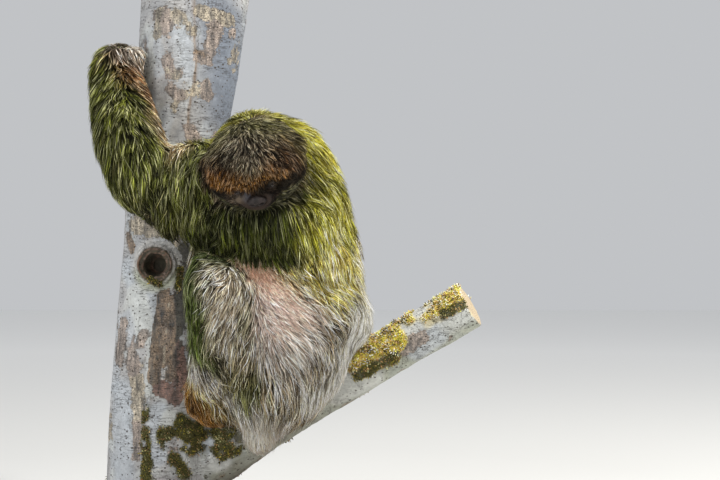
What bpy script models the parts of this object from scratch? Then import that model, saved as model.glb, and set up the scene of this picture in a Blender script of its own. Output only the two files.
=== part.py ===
"""A life-size brown-throated three-toed sloth asleep in the fork of a tree, on a display stand.

Metres, +Z up. The origin is the middle of the stand's underside. The sloth faces -Y, so its
left side is at +X. The solids reach out to the tips of the coat.
"""

import math

import bmesh
import bpy
from mathutils import Matrix, Vector

GAP = 0.0005  # clearance between pieces of the animal that touch
FIT = 0.0003  # clearance where the stand's pieces meet
FLAT_ENOUGH = 0.8  # degrees: neighbouring faces closer to flat than this become one

# The stand
BASE_SIZE = (0.36, 0.30, 0.020)
BASE_CORNER = 0.030
BASE_EDGE = 0.004
ROD_RADIUS = 0.008
FLANGE_RADIUS = 0.018
FLANGE_HEIGHT = 0.004
ROD_OFFSET = 0.034  # each rod's distance from the middle of the cut tree

# The tree: middle line (x, z) and radius, all in one upright plane
TREE_Y = 0.065
TREE_BOTTOM = 0.050
TREE_TOP = 0.682
TREE_LINE = (
    (-0.086, 0.030, 0.0770),
    (-0.086, 0.138, 0.0715),
    (-0.082, 0.252, 0.0665),
    (-0.076, 0.354, 0.0640),
    (-0.070, 0.493, 0.0625),
    (-0.058, 0.582, 0.0650),
    (-0.045, 0.710, 0.0705),
)
BRANCH_LINE = (  # (x, y, z) and radius, from inside the trunk out to the sawn end
    (-0.095, 0.062, 0.055, 0.0480),
    (-0.020, 0.052, 0.097, 0.0410),
    (0.042, 0.042, 0.1346, 0.0335),
    (0.143, 0.030, 0.1934, 0.0301),
    (0.224, 0.015, 0.2421, 0.0292),
    (0.298, 0.000, 0.2862, 0.0290),
)
KNOT_CENTRE = (-0.0905, TREE_Y - 0.058, 0.3356)
KNOT_RING = 0.0205  # radius of the rolled rim round the lost limb
KNOT_ROLL = 0.0085  # thickness of that rim
KNOT_HOLE = 0.0150
KNOT_DEPTH = 0.022

# The head: built along its own axes and then bowed on to the chest
HEAD_CENTRE = Vector((0.043, -0.138, 0.4545))
HEAD_PITCH = math.radians(50)
HEAD_ROLL = math.radians(11)
HEAD_YAW = math.radians(7)
HEAD_PROFILE = (  # forward, up, half width, half height
    (-0.050, 0.000, 0.0240, 0.0200),
    (-0.038, 0.000, 0.0440, 0.0360),
    (-0.020, 0.001, 0.0570, 0.0450),
    (0.002, 0.001, 0.0615, 0.0485),
    (0.022, 0.000, 0.0580, 0.0460),
    (0.036, -0.002, 0.0500, 0.0395),
    (0.045, -0.004, 0.0400, 0.0315),
)
MUZZLE_PROFILE = (
    (0.028, -0.0040, 0.0280, 0.0225),
    (0.044, -0.0045, 0.0255, 0.0195),
    (0.053, -0.0040, 0.0215, 0.0160),
    (0.058, -0.0030, 0.0160, 0.0120),
)
NOSE_AT = (0.0585, 0.0005)  # forward, up
NOSE_SIZE = (0.0115, 0.0065, 0.0075)
EYE_RADIUS = 0.0052
EYE_AT = (0.0190, 0.0480, 0.0115)  # out, forward, up
EAR_AT = (0.0580, -0.006, 0.008)
EAR_SIZE = (0.0060, 0.0085, 0.0100)

# The torso: height, middle x, middle y, half width, half depth
TORSO = (
    (0.138, 0.045, -0.064, 0.0300, 0.0280),
    (0.150, 0.047, -0.062, 0.0450, 0.0420),
    (0.163, 0.050, -0.058, 0.0580, 0.0560),
    (0.181, 0.053, -0.050, 0.0730, 0.0720),
    (0.208, 0.057, -0.040, 0.0890, 0.0890),
    (0.241, 0.062, -0.038, 0.1000, 0.1020),
    (0.271, 0.062, -0.040, 0.1030, 0.1060),
    (0.307, 0.061, -0.042, 0.1070, 0.1070),
    (0.348, 0.0603, -0.045, 0.1060, 0.1040),
    (0.384, 0.0585, -0.045, 0.0999, 0.0980),
    (0.420, 0.0561, -0.045, 0.0915, 0.0900),
    (0.456, 0.0513, -0.045, 0.0832, 0.0790),
    (0.486, 0.0453, -0.048, 0.0712, 0.0660),
    (0.507, 0.0423, -0.052, 0.0538, 0.0490),
    (0.517, 0.0430, -0.055, 0.0400, 0.0360),
)
WAIST = 0.292
WAIST_SLOPE = 0.18
NECK = (
    (0.048, -0.052, 0.460, 0.0610),
    (0.046, -0.090, 0.4645, 0.0580),
    (0.044, -0.122, 0.4600, 0.0470),
)
TAIL = (
    (0.0460, -0.058, 0.154, 0.0300),
    (0.0440, -0.063, 0.131, 0.0220),
    (0.0415, -0.067, 0.119, 0.0160),
)

# The limbs: (x, y, z) and radius at each place along them
SHOULDER_RIGHT = (0.008, -0.050, 0.4320, 0.0570)
ELBOW_RIGHT = (-0.0895, -0.102, 0.4340, 0.0410)
WRIST_RIGHT = (-0.1476, 0.036, 0.5945, 0.0290)
SHOULDER_LEFT = (0.0930, -0.0460, 0.4240, 0.0500)
ELBOW_LEFT = (0.107, -0.112, 0.3770, 0.0370)
WRIST_LEFT = (-0.030, -0.088, 0.3860, 0.0270)
HIP_RIGHT = (0.0330, -0.045, 0.2080, 0.0500)
KNEE_RIGHT = (-0.0040, -0.132, 0.3180, 0.0380)
ANKLE_RIGHT = (-0.0160, -0.076, 0.1900, 0.0260)
HEEL_RIGHT = (
    (-0.0150, -0.064, 0.1750, 0.0260, 0.0260),
    (-0.0060, -0.032, 0.1690, 0.0245, 0.0245),
)
HIP_LEFT = (0.0860, -0.040, 0.2080, 0.0500)
KNEE_LEFT = (0.1290, -0.094, 0.2830, 0.0395)
ANKLE_LEFT = (0.1440, 0.022, 0.2480, 0.0250)

# What each hand and foot holds: the angles go round the wood, in degrees
HAND_GAP = 0.0017
CLAW_RADIUS = 0.0043
CLAW_TIP = 0.0010
CLAW_PITCH = 0.0095
CLAWS = 3

HIDE = {"colour": (0.30, 0.29, 0.17), "roughness": 0.85, "metallic": 0.0}
CROWN = {"colour": (0.16, 0.13, 0.09), "roughness": 0.85, "metallic": 0.0}
BELLY = {"colour": (0.42, 0.36, 0.30), "roughness": 0.85, "metallic": 0.0}
LEATHER = {"colour": (0.09, 0.075, 0.08), "roughness": 0.55, "metallic": 0.0}
EYE = {"colour": (0.02, 0.012, 0.008), "roughness": 0.12, "metallic": 0.0}
CLAW = {"colour": (0.48, 0.40, 0.28), "roughness": 0.40, "metallic": 0.0}
BARK = {"colour": (0.62, 0.60, 0.56), "roughness": 0.90, "metallic": 0.0}
BOARD = {"colour": (0.16, 0.09, 0.05), "roughness": 0.45, "metallic": 0.0}
STEEL = {"colour": (0.55, 0.55, 0.56), "roughness": 0.30, "metallic": 1.0}


def clear_scene():
    for found in list(bpy.data.objects):
        bpy.data.objects.remove(found, do_unlink=True)


def finish_of(name, look):
    """The material of that name, made once."""
    made = bpy.data.materials.get(name)
    if made is None:
        made = bpy.data.materials.new(name)
        made.use_nodes = True
        shader = made.node_tree.nodes["Principled BSDF"]
        shader.inputs["Base Color"].default_value = (*look["colour"], 1.0)
        shader.inputs["Roughness"].default_value = look["roughness"]
        shader.inputs["Metallic"].default_value = look["metallic"]
    return made


def object_of(name, shape, finish=None, smooth=True):
    """Closes the bmesh's work: normals out, flat faces, a mesh, an object and its material."""
    bmesh.ops.recalc_face_normals(shape, faces=shape.faces)
    bmesh.ops.triangulate(shape, faces=[face for face in shape.faces if len(face.verts) == 4])
    mesh = bpy.data.meshes.new(name)
    shape.to_mesh(mesh)
    shape.free()
    if smooth:
        mesh.shade_smooth()
        mesh.set_sharp_from_angle(angle=math.radians(50))
    if finish is not None:
        mesh.materials.append(finish_of(*finish))
    made = bpy.data.objects.new(name, mesh)
    bpy.context.scene.collection.objects.link(made)
    return made


def curve_at(rows, steps):
    """Rows of numbers read along a smooth Catmull-Rom curve, with steps to each stretch."""
    rows = [Vector(row) for row in rows]
    before, after = 2 * rows[0] - rows[1], 2 * rows[-1] - rows[-2]
    knots = [before, *rows, after]
    found = []
    for i in range(1, len(knots) - 2):
        a, b, c, d = knots[i - 1 : i + 3]
        for k in range(steps):
            t = k / steps
            found.append(
                0.5 * (2 * b + (c - a) * t + (2 * a - 5 * b + 4 * c - d) * t**2
                       + (3 * b - a - 3 * c + d) * t**3)
            )
    return [*found, rows[-1]]


def ring_of(shape, centre, across, upward, width, height, sides, ripple=None):
    """One ring of vertices round a centre."""
    ring = []
    for k in range(sides):
        turn = 2 * math.pi * k / sides
        swell = 1.0 if ripple is None else ripple(turn, centre)
        place = centre + swell * (width * math.cos(turn) * across + height * math.sin(turn) * upward)
        ring.append(shape.verts.new(place))
    return ring


def loft(rows, reference, sides, steps, start_cap=None, end_cap=None, ripple=None, bends=(0.52, 1.01)):
    """A closed tube through rows of (x, y, z, half width, half height).

    A cap is the length of a rounded end, with a ring at each of the bends, in radians. Without a
    cap the end is cut flat.
    """
    shape = bmesh.new()
    read = curve_at(rows, steps)
    centres = [Vector(row[:3]) for row in read]
    rings = []
    frames = []
    for i, centre in enumerate(centres):
        along = (centres[min(i + 1, len(centres) - 1)] - centres[max(i - 1, 0)]).normalized()
        across = along.cross(reference).normalized()
        frames.append((centre, along, across, across.cross(along)))
    for (centre, along, across, upward), row in zip(frames, read):
        rings.append(ring_of(shape, centre, across, upward, row[3], row[4], sides, ripple))

    def rounded(frame, row, length, direction):
        centre, along, across, upward = frame
        made = []
        for bend in bends:
            middle = centre + direction * along * length * math.sin(bend)
            share = math.cos(bend)
            made.append(ring_of(shape, middle, across, upward, row[3] * share, row[4] * share, sides))
        return made, shape.verts.new(centre + direction * along * length)

    if start_cap:
        more, start_pole = rounded(frames[0], read[0], start_cap, -1)
        rings = [*reversed(more), *rings]
    if end_cap:
        more, end_pole = rounded(frames[-1], read[-1], end_cap, 1)
        rings = [*rings, *more]
    for low, high in zip(rings, rings[1:]):
        for k in range(sides):
            n = (k + 1) % sides
            shape.faces.new((low[k], low[n], high[n], high[k]))
    for ring, pole in ((rings[0], start_pole if start_cap else None), (rings[-1], end_pole if end_cap else None)):
        if pole is None:
            shape.faces.new(ring)
        else:
            for k in range(sides):
                shape.faces.new((ring[k], ring[(k + 1) % sides], pole))
    return shape


def limb(name, finish, rows, reference=(0.0, 0.0, 1.0), sides=14, steps=2, start_cap=0.02, end_cap=0.02):
    """A round limb through rows of (x, y, z, radius), with rounded ends."""
    wide = [(*row, row[3]) for row in rows]
    return object_of(name, loft(wide, Vector(reference), sides, steps, start_cap, end_cap), finish)


def evaluated_copy(source, name):
    """A new hidden-from-render object with the source's shape, its modifiers applied."""
    graph = bpy.context.evaluated_depsgraph_get()
    mesh = bpy.data.meshes.new_from_object(source.evaluated_get(graph))
    copy = bpy.data.objects.new(name, mesh)
    bpy.context.scene.collection.objects.link(copy)
    return copy


def make_helper(made):
    made.hide_render = True
    made.display_type = "WIRE"
    return made


def grown(source):
    """The source's own shape, larger by the gap, to cut room for it from its neighbours."""
    name = source.name + "_room"
    known = bpy.data.objects.get(name)
    if known is not None:
        return known
    mesh = source.data.copy()
    shifts = [vertex.normal * GAP for vertex in mesh.vertices]
    for vertex, shift in zip(mesh.vertices, shifts):
        vertex.co += shift
    made = bpy.data.objects.new(name, mesh)
    bpy.context.scene.collection.objects.link(made)
    return make_helper(made)


def boolean(piece, other, operation):
    modifier = piece.modifiers.new(other.name, "BOOLEAN")
    modifier.operation = operation
    modifier.solver = "EXACT"
    modifier.object = other


def make_room(piece, *others):
    """Cuts each of the others, with its gap, out of the piece and drops any slivers left over."""
    grown(piece)
    for other in others:
        boolean(piece, grown(other), "DIFFERENCE")
        cut = evaluated_copy(piece, piece.name + "_cut")
        piece.modifiers.clear()
        shape = bmesh.new()
        shape.from_mesh(cut.data)
        bpy.data.objects.remove(cut, do_unlink=True)
        bmesh.ops.triangulate(shape, faces=shape.faces)
        keep_largest(shape)
        if other is others[-1]:
            bmesh.ops.dissolve_limit(
                shape, angle_limit=math.radians(FLAT_ENOUGH), verts=shape.verts, edges=shape.edges
            )
            bmesh.ops.triangulate(shape, faces=shape.faces)
        shape.to_mesh(piece.data)
        shape.free()


def keep_largest(shape):
    """Drops every separate body but the one with most faces."""
    left = set(shape.faces)
    bodies = []
    while left:
        body = {left.pop()}
        front = list(body)
        while front:
            face = front.pop()
            for edge in face.edges:
                for near in edge.link_faces:
                    if near in left:
                        left.discard(near)
                        body.add(near)
                        front.append(near)
        bodies.append(body)
    bodies.sort(key=len)
    spare = [face for body in bodies[:-1] for face in body]
    bmesh.ops.delete(shape, geom=spare, context="FACES")


# ---------------------------------------------------------------- the stand and the tree


def base_board():
    shape = bmesh.new()
    bmesh.ops.create_cube(shape, size=1.0)
    bmesh.ops.scale(shape, vec=BASE_SIZE, verts=shape.verts)
    bmesh.ops.translate(shape, vec=(0, 0, BASE_SIZE[2] / 2), verts=shape.verts)
    upright = [e for e in shape.edges if abs(e.verts[0].co.z - e.verts[1].co.z) > BASE_SIZE[2] / 2]
    bmesh.ops.bevel(shape, geom=upright, offset=BASE_CORNER, segments=4, profile=0.5, affect="EDGES")
    top = [e for e in shape.edges if min(v.co.z for v in e.verts) > BASE_SIZE[2] * 0.99]
    bmesh.ops.bevel(shape, geom=top, offset=BASE_EDGE, segments=1, profile=0.5, affect="EDGES")
    return object_of("stand_base", shape, ("stained_board", BOARD))


def rod(name, x):
    """A turned rod with a flange at each end, between the board and the cut tree."""
    low, high = BASE_SIZE[2] + FIT, TREE_BOTTOM - FIT
    profile = (
        (0.0, low),
        (FLANGE_RADIUS, low),
        (FLANGE_RADIUS, low + FLANGE_HEIGHT),
        (ROD_RADIUS, low + FLANGE_HEIGHT),
        (ROD_RADIUS, high - FLANGE_HEIGHT),
        (FLANGE_RADIUS, high - FLANGE_HEIGHT),
        (FLANGE_RADIUS, high),
        (0.0, high),
    )
    shape = bmesh.new()
    points = [shape.verts.new((radius, 0, height)) for radius, height in profile]
    edges = [shape.edges.new(pair) for pair in zip(points, points[1:])]
    bmesh.ops.spin(
        shape, geom=points + edges, cent=(0, 0, 0), axis=(0, 0, 1), angle=2 * math.pi, steps=10, use_merge=True
    )
    bmesh.ops.remove_doubles(shape, verts=shape.verts, dist=1e-6)
    bmesh.ops.translate(shape, vec=(x, TREE_Y, 0), verts=shape.verts)
    return object_of(name, shape, ("turned_steel", STEEL))


def bark_ripple(turn, centre):
    """The trunk isn't quite round: shallow flutes that wander with height."""
    return 1 + 0.010 * math.sin(2 * turn + 9 * centre.z) + 0.006 * math.sin(3 * turn - 14 * centre.z)


def cut_flat(shape, height, keep_above):
    """Cuts the shape level at a height and closes the cut."""
    found = bmesh.ops.bisect_plane(
        shape,
        geom=shape.verts[:] + shape.edges[:] + shape.faces[:],
        plane_co=(0, 0, height),
        plane_no=(0, 0, 1),
        clear_inner=keep_above,
        clear_outer=not keep_above,
    )
    rim = [g for g in found["geom_cut"] if isinstance(g, bmesh.types.BMEdge)]
    bmesh.ops.holes_fill(shape, edges=rim, sides=0)


def tree():
    """The length of trunk with its branch and the rolled knot of a lost limb: one piece of wood."""
    sideways = Vector((0.0, 1.0, 0.0))
    trunk_rows = [(x, TREE_Y, z, r, r) for x, z, r in TREE_LINE]
    trunk = object_of("perch", loft(trunk_rows, sideways, 18, 2, ripple=bark_ripple), ("pale_bark", BARK))
    branch_rows = [(x, y, z, r, r) for x, y, z, r in BRANCH_LINE]
    branch = make_helper(object_of("branch_part", loft(branch_rows, sideways, 12, 2, start_cap=0.02)))

    rim = bmesh.new()
    outer = Vector(KNOT_CENTRE)
    outward = Vector((math.sin(math.radians(-8)), -math.cos(math.radians(-8)), 0.0))
    upward = Vector((0.0, 0.0, 1.0))
    across = outward.cross(upward)
    round_steps, roll_steps = 13, 5
    for i in range(round_steps):
        turn = 2 * math.pi * i / round_steps
        spoke = math.cos(turn) * across + math.sin(turn) * upward
        for k in range(roll_steps):
            roll = 2 * math.pi * k / roll_steps
            reach = KNOT_RING + KNOT_ROLL * math.cos(roll)
            rim.verts.new(outer + reach * spoke + KNOT_ROLL * math.sin(roll) * outward)
    rim.verts.ensure_lookup_table()
    for i in range(round_steps):
        for k in range(roll_steps):
            a = i * roll_steps + k
            b = i * roll_steps + (k + 1) % roll_steps
            c = (i + 1) % round_steps * roll_steps + (k + 1) % roll_steps
            d = (i + 1) % round_steps * roll_steps + k
            rim.faces.new([rim.verts[n] for n in (a, b, c, d)])
    knot_rim = make_helper(object_of("knot_rim", rim))

    mouth = bmesh.new()
    bmesh.ops.create_cone(
        mouth, cap_ends=True, segments=14, radius1=KNOT_HOLE * 0.75, radius2=KNOT_HOLE, depth=2 * KNOT_DEPTH
    )
    turned = outward.to_track_quat("Z", "Y").to_matrix().to_4x4()
    bmesh.ops.transform(mouth, matrix=Matrix.Translation(outer) @ turned, verts=mouth.verts)
    knot_hole = make_helper(object_of("knot_hole", mouth))

    boolean(trunk, branch, "UNION")
    boolean(trunk, knot_rim, "UNION")
    boolean(trunk, knot_hole, "DIFFERENCE")
    joined = evaluated_copy(trunk, "perch_joined")
    bpy.data.objects.remove(trunk, do_unlink=True)
    shape = bmesh.new()
    shape.from_mesh(joined.data)
    bpy.data.objects.remove(joined, do_unlink=True)
    bmesh.ops.remove_doubles(shape, verts=shape.verts, dist=1e-5)
    cut_flat(shape, TREE_BOTTOM, keep_above=True)
    cut_flat(shape, TREE_TOP, keep_above=False)
    bmesh.ops.triangulate(shape, faces=shape.faces)
    return object_of("perch", shape, ("pale_bark", BARK))


def tree_at(height):
    """The trunk's middle and radius at a height."""
    rows = curve_at(TREE_LINE, 12)
    for low, high in zip(rows, rows[1:]):
        if low[1] <= height <= high[1]:
            share = (height - low[1]) / (high[1] - low[1])
            found = low.lerp(high, share)
            return Vector((found[0], TREE_Y, height)), found[2]
    raise ValueError("the tree doesn't reach that height")


def branch_at(x):
    """The branch's middle, radius and direction where it passes x."""
    rows = curve_at(BRANCH_LINE, 12)
    for low, high in zip(rows, rows[1:]):
        if low[0] <= x <= high[0]:
            share = (x - low[0]) / (high[0] - low[0])
            found = low.lerp(high, share)
            along = (Vector(high[:3]) - Vector(low[:3])).normalized()
            return Vector(found[:3]), found[3], along
    raise ValueError("the branch doesn't reach that far")


# ---------------------------------------------------------------- the head


def head_turn():
    """Takes the head's own axes (left, back, up) to where it is, bowed and a little to one side."""
    bow = Matrix.Rotation(HEAD_PITCH, 4, "X")
    yaw = Matrix.Rotation(-HEAD_YAW, 4, "Z")
    lean = Matrix.Rotation(-HEAD_ROLL, 4, "Y")
    return Matrix.Translation(HEAD_CENTRE) @ lean @ yaw @ bow


def head_loft(name, finish, profile, sides, start_cap, end_cap):
    rows = [(0.0, -forward, up, width, height) for forward, up, width, height in profile]
    shape = loft(rows, Vector((0.0, 0.0, 1.0)), sides, 1, start_cap, end_cap)
    bmesh.ops.transform(shape, matrix=head_turn(), verts=shape.verts)
    return object_of(name, shape, finish)


def head_ball(name, finish, place, size, rows=7, sides=10):
    shape = bmesh.new()
    bmesh.ops.create_uvsphere(shape, u_segments=sides, v_segments=rows, radius=1.0)
    bmesh.ops.scale(shape, vec=size, verts=shape.verts)
    bmesh.ops.translate(shape, vec=place, verts=shape.verts)
    bmesh.ops.transform(shape, matrix=head_turn(), verts=shape.verts)
    return object_of(name, shape, finish)


def head_pieces():
    head = head_loft("head", ("crown_fur", CROWN), HEAD_PROFILE, 16, 0.012, 0.010)
    muzzle = head_loft("muzzle", ("bare_skin", LEATHER), MUZZLE_PROFILE, 14, None, 0.006)
    forward, up = NOSE_AT
    nose = head_ball("nose", ("nose_leather", LEATHER), (0.0, -forward, up), NOSE_SIZE)
    out, forward, up = EYE_AT
    eyes = []
    for side, sign in (("left", 1), ("right", -1)):
        place = (sign * out, -forward, up)
        eyes.append(head_ball("eye_" + side, ("dark_eye", EYE), place, (EYE_RADIUS,) * 3, 6, 8))
    out, forward, up = EAR_AT
    ears = []
    for side, sign in (("left", 1), ("right", -1)):
        place = (sign * out, -forward, up)
        ears.append(head_ball("ear_" + side, ("crown_fur", CROWN), place, EAR_SIZE, 5, 8))
    return head, muzzle, nose, eyes, ears


# ---------------------------------------------------------------- the torso


def torso_part(name, keep_above):
    """The torso above or below the sloping waist."""
    rows = [(x, y, z, width, depth) for z, x, y, width, depth in TORSO]
    shape = loft(rows, Vector((0.0, 1.0, 0.0)), 20, 1, 0.010, 0.008)
    slope = Vector((0.0, -WAIST_SLOPE, 1.0)).normalized()
    found = bmesh.ops.bisect_plane(
        shape,
        geom=shape.verts[:] + shape.edges[:] + shape.faces[:],
        plane_co=Vector((0.0, TORSO[0][2], WAIST)) + slope * (GAP / 2 if keep_above else -GAP / 2),
        plane_no=slope,
        clear_inner=keep_above,
        clear_outer=not keep_above,
    )
    rim = [g for g in found["geom_cut"] if isinstance(g, bmesh.types.BMEdge)]
    bmesh.ops.holes_fill(shape, edges=rim, sides=0)
    return object_of(name, shape, ("coat", HIDE) if keep_above else ("belly_fur", BELLY))


# ---------------------------------------------------------------- hands, feet and claws


def round_the_wood(middle, axis, start, turn_degrees, reach, shift):
    """A point at that angle round a length of wood. Start is the direction of angle 0."""
    turned = Matrix.Rotation(math.radians(turn_degrees), 3, axis) @ start
    return middle + turned * reach + axis * shift


def claw_set(limb_name, middle, axis, start, radius, first_turn, last_turn, rise=0.0):
    """Three long claws side by side, curving round the wood from the toes to their tips."""
    claws = []
    for n in range(CLAWS):
        shift = (n - (CLAWS - 1) / 2) * CLAW_PITCH
        rows = []
        stretches = 4
        for k in range(stretches + 1):
            t = k / stretches
            thick = CLAW_RADIUS * (1 - t) + CLAW_TIP * t
            bow = 0.0045 * math.sin(math.pi * t)
            reach = radius + HAND_GAP + thick + bow
            turn = first_turn + (last_turn - first_turn) * t
            place = round_the_wood(middle, axis, start, turn, reach, shift * (1 - 0.35 * t) + rise * t)
            rows.append((*place, thick, thick * 0.8))
        shape = loft(rows, axis, 6, 1, 0.002, 0.001, bends=(0.55,))
        claws.append(object_of(f"claw_{limb_name}_{n + 1}", shape, ("claw_horn", CLAW)))
    return claws


def palm_rows(middle, axis, start, radius, turns, reaches, thicknesses, shifts):
    rows = []
    for turn, reach, thick, shift in zip(turns, reaches, thicknesses, shifts):
        place = round_the_wood(middle, axis, start, turn, radius + reach, shift)
        rows.append((*place, thick, thick * 1.05))
    return rows


def palm(name, rows, axis):
    shape = loft(rows, Vector(axis), 10, 2, 0.008, 0.006)
    return object_of(name, shape, ("short_fur", CROWN))


def hands_and_feet():
    """Each hand and foot with its claws, wrapped on what it holds."""
    up = Vector((0.0, 0.0, 1.0))
    left_out = Vector((-1.0, 0.0, 0.0))
    made = {}

    middle, radius = tree_at(0.597)
    turns = (-4, -14, -26, -40)
    rows = palm_rows(middle, up, left_out, radius, turns, (0.027, 0.023, 0.019, 0.0165),
                     (0.0255, 0.0210, 0.0175, 0.0145), (-0.001, 0.001, 0.002, 0.002))
    made["hand_right"] = palm("hand_right", rows, up)
    made["claws_hand_right"] = claw_set("hand_right", middle + up * 0.002, up, left_out, radius, -36, -104)

    middle, radius = tree_at(0.420)
    turns = (90, 78, 66, 52)
    rows = palm_rows(middle, up, left_out, radius, turns, (0.026, 0.021, 0.018, 0.0155),
                     (0.0225, 0.0190, 0.0165, 0.0140), (-0.024, -0.016, -0.008, -0.001))
    made["hand_left"] = palm("hand_left", rows, up)
    made["claws_hand_left"] = claw_set("hand_left", middle, up, left_out, radius, 56, 2)

    middle, radius, along = branch_at(0.025)
    forward = (Vector((0.0, -1.0, 0.0)) - along * along.dot(Vector((0.0, -1.0, 0.0)))).normalized()
    turns = (72, 88)
    rows = [*HEEL_RIGHT]
    rows += palm_rows(middle, along, forward, radius, [-t for t in turns], (0.0225, 0.018),
                      (0.0195, 0.0150), (-0.004, 0.001))
    made["foot_right"] = palm("foot_right", rows, along)
    made["claws_foot_right"] = claw_set("foot_right", middle + along * 0.002, along, forward, radius, -84, -178)

    middle, radius, along = branch_at(0.150)
    forward = (Vector((0.0, -1.0, 0.0)) - along * along.dot(Vector((0.0, -1.0, 0.0)))).normalized()
    turns = (92, 112, 134, 152)
    rows = palm_rows(middle, along, forward, radius, [-t for t in turns], (0.026, 0.022, 0.018, 0.0155),
                     (0.0235, 0.0200, 0.0170, 0.0140), (0.002, 0.001, 0.000, 0.000))
    made["foot_left"] = palm("foot_left", rows, along)
    made["claws_foot_left"] = claw_set("foot_left", middle, along, forward, radius, -148, -252)
    return made


# ---------------------------------------------------------------- all together


def between(start, end, share, radius, shift=(0.0, 0.0, 0.0)):
    """A row part way between two joints, with its own radius and a shift off the straight line."""
    place = Vector(start[:3]).lerp(Vector(end[:3]), share) + Vector(shift)
    return (*place, radius)


def sloth(perch):
    head, muzzle, nose, eyes, ears = head_pieces()
    ends = hands_and_feet()
    neck = limb("neck", ("coat", HIDE), NECK, (0, 0, 1), 12, 1, None, 0.02)
    chest = torso_part("chest", True)
    hips = torso_part("hips", False)
    tail = limb("tail", ("belly_fur", BELLY), TAIL, (0, 1, 0), 12, 1, 0.01, 0.008)

    arm_coat, leg_coat = ("coat", HIDE), ("belly_fur", BELLY)
    fore_right = limb("arm_right_fore", arm_coat, (
        ELBOW_RIGHT,
        between(ELBOW_RIGHT, WRIST_RIGHT, 0.28, 0.0440, (-0.004, -0.006, 0.0)),
        between(ELBOW_RIGHT, WRIST_RIGHT, 0.62, 0.0400, (-0.004, -0.004, 0.0)),
        WRIST_RIGHT,
    ), (1, 0, 0), 13, 2, 0.034, 0.016)
    upper_right = limb("arm_right_upper", arm_coat, (
        SHOULDER_RIGHT,
        between(SHOULDER_RIGHT, ELBOW_RIGHT, 0.5, 0.0535, (0.0, -0.010, 0.0)),
        between(SHOULDER_RIGHT, ELBOW_RIGHT, 0.93, 0.0375),
    ), (0, 0, 1), 12, 1, None, 0.024)
    fore_left = limb("arm_left_fore", arm_coat, (
        ELBOW_LEFT,
        between(ELBOW_LEFT, WRIST_LEFT, 0.27, 0.0355, (0.0, -0.018, 0.0)),
        between(ELBOW_LEFT, WRIST_LEFT, 0.62, 0.0330, (0.0, -0.022, 0.0)),
        WRIST_LEFT,
    ), (0, 0, 1), 14, 1, 0.030, 0.018)
    upper_left = limb("arm_left_upper", arm_coat, (
        SHOULDER_LEFT,
        between(SHOULDER_LEFT, ELBOW_LEFT, 0.5, 0.0480, (0.006, 0.0, 0.0)),
        between(SHOULDER_LEFT, ELBOW_LEFT, 0.92, 0.0330),
    ), (1, 0, 0), 12, 1, None, 0.022)
    thigh_right = limb("leg_right_thigh", leg_coat, (
        HIP_RIGHT,
        between(HIP_RIGHT, KNEE_RIGHT, 0.55, 0.0460, (0.008, 0.004, 0.0)),
        between(HIP_RIGHT, KNEE_RIGHT, 0.90, 0.0340, (0.006, 0.0, 0.0)),
    ), (1, 0, 0), 12, 1, None, 0.024)
    shin_right = limb("leg_right_shin", leg_coat, (
        KNEE_RIGHT,
        between(KNEE_RIGHT, ANKLE_RIGHT, 0.5, 0.0345, (0.006, 0.0, 0.0)),
        ANKLE_RIGHT,
    ), (1, 0, 0), 12, 1, 0.032, 0.014)
    thigh_left = limb("leg_left_thigh", leg_coat, (
        HIP_LEFT,
        between(HIP_LEFT, KNEE_LEFT, 0.55, 0.0470, (0.0, -0.006, 0.0)),
        between(HIP_LEFT, KNEE_LEFT, 0.90, 0.0350),
    ), (1, 0, 0), 12, 1, None, 0.024)
    shin_left = limb("leg_left_shin", leg_coat, (
        KNEE_LEFT,
        between(KNEE_LEFT, ANKLE_LEFT, 0.5, 0.0350, (0.008, 0.0, 0.0)),
        ANKLE_LEFT,
    ), (0, 0, 1), 12, 1, 0.032, 0.014)

    # Each piece gives way to those before it that it meets.
    make_room(muzzle, nose, *eyes)
    make_room(head, muzzle, *eyes)
    for ear in ears:
        make_room(ear, head)
    make_room(neck, head)
    for key in ("hand_right", "hand_left", "foot_right", "foot_left"):
        make_room(ends[key], perch)
        for claw in ends["claws_" + key]:
            make_room(claw, ends[key])
    make_room(fore_left, muzzle, head, neck, ends["hand_left"])
    make_room(fore_right, perch, ends["hand_right"], ends["hand_left"])
    make_room(upper_left, head, neck, fore_left)
    make_room(upper_right, perch, *ears, head, neck, ends["hand_left"], fore_left, fore_right)
    make_room(shin_right, perch, ends["foot_right"])
    make_room(thigh_right, perch, shin_right, ends["foot_right"], fore_left)
    make_room(shin_left, perch, ends["foot_left"])
    make_room(thigh_left, shin_left, thigh_right)
    make_room(hips, perch, thigh_right, thigh_left, shin_left, shin_right, ends["foot_right"], ends["foot_left"])
    make_room(chest, perch, head, neck, fore_left, upper_left, upper_right, thigh_right, shin_right, thigh_left,
              shin_left)
    make_room(tail, hips)


def main():
    clear_scene()
    base_board()
    middle = tree_at(TREE_BOTTOM)[0].x
    rod("stand_rod_1", middle - ROD_OFFSET)
    rod("stand_rod_2", middle + ROD_OFFSET)
    sloth(tree())


main()
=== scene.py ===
import math

import bmesh
import bpy
import numpy as np
from mathutils import Matrix, Vector, noise
from mathutils.bvhtree import BVHTree
from mathutils.kdtree import KDTree


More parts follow.
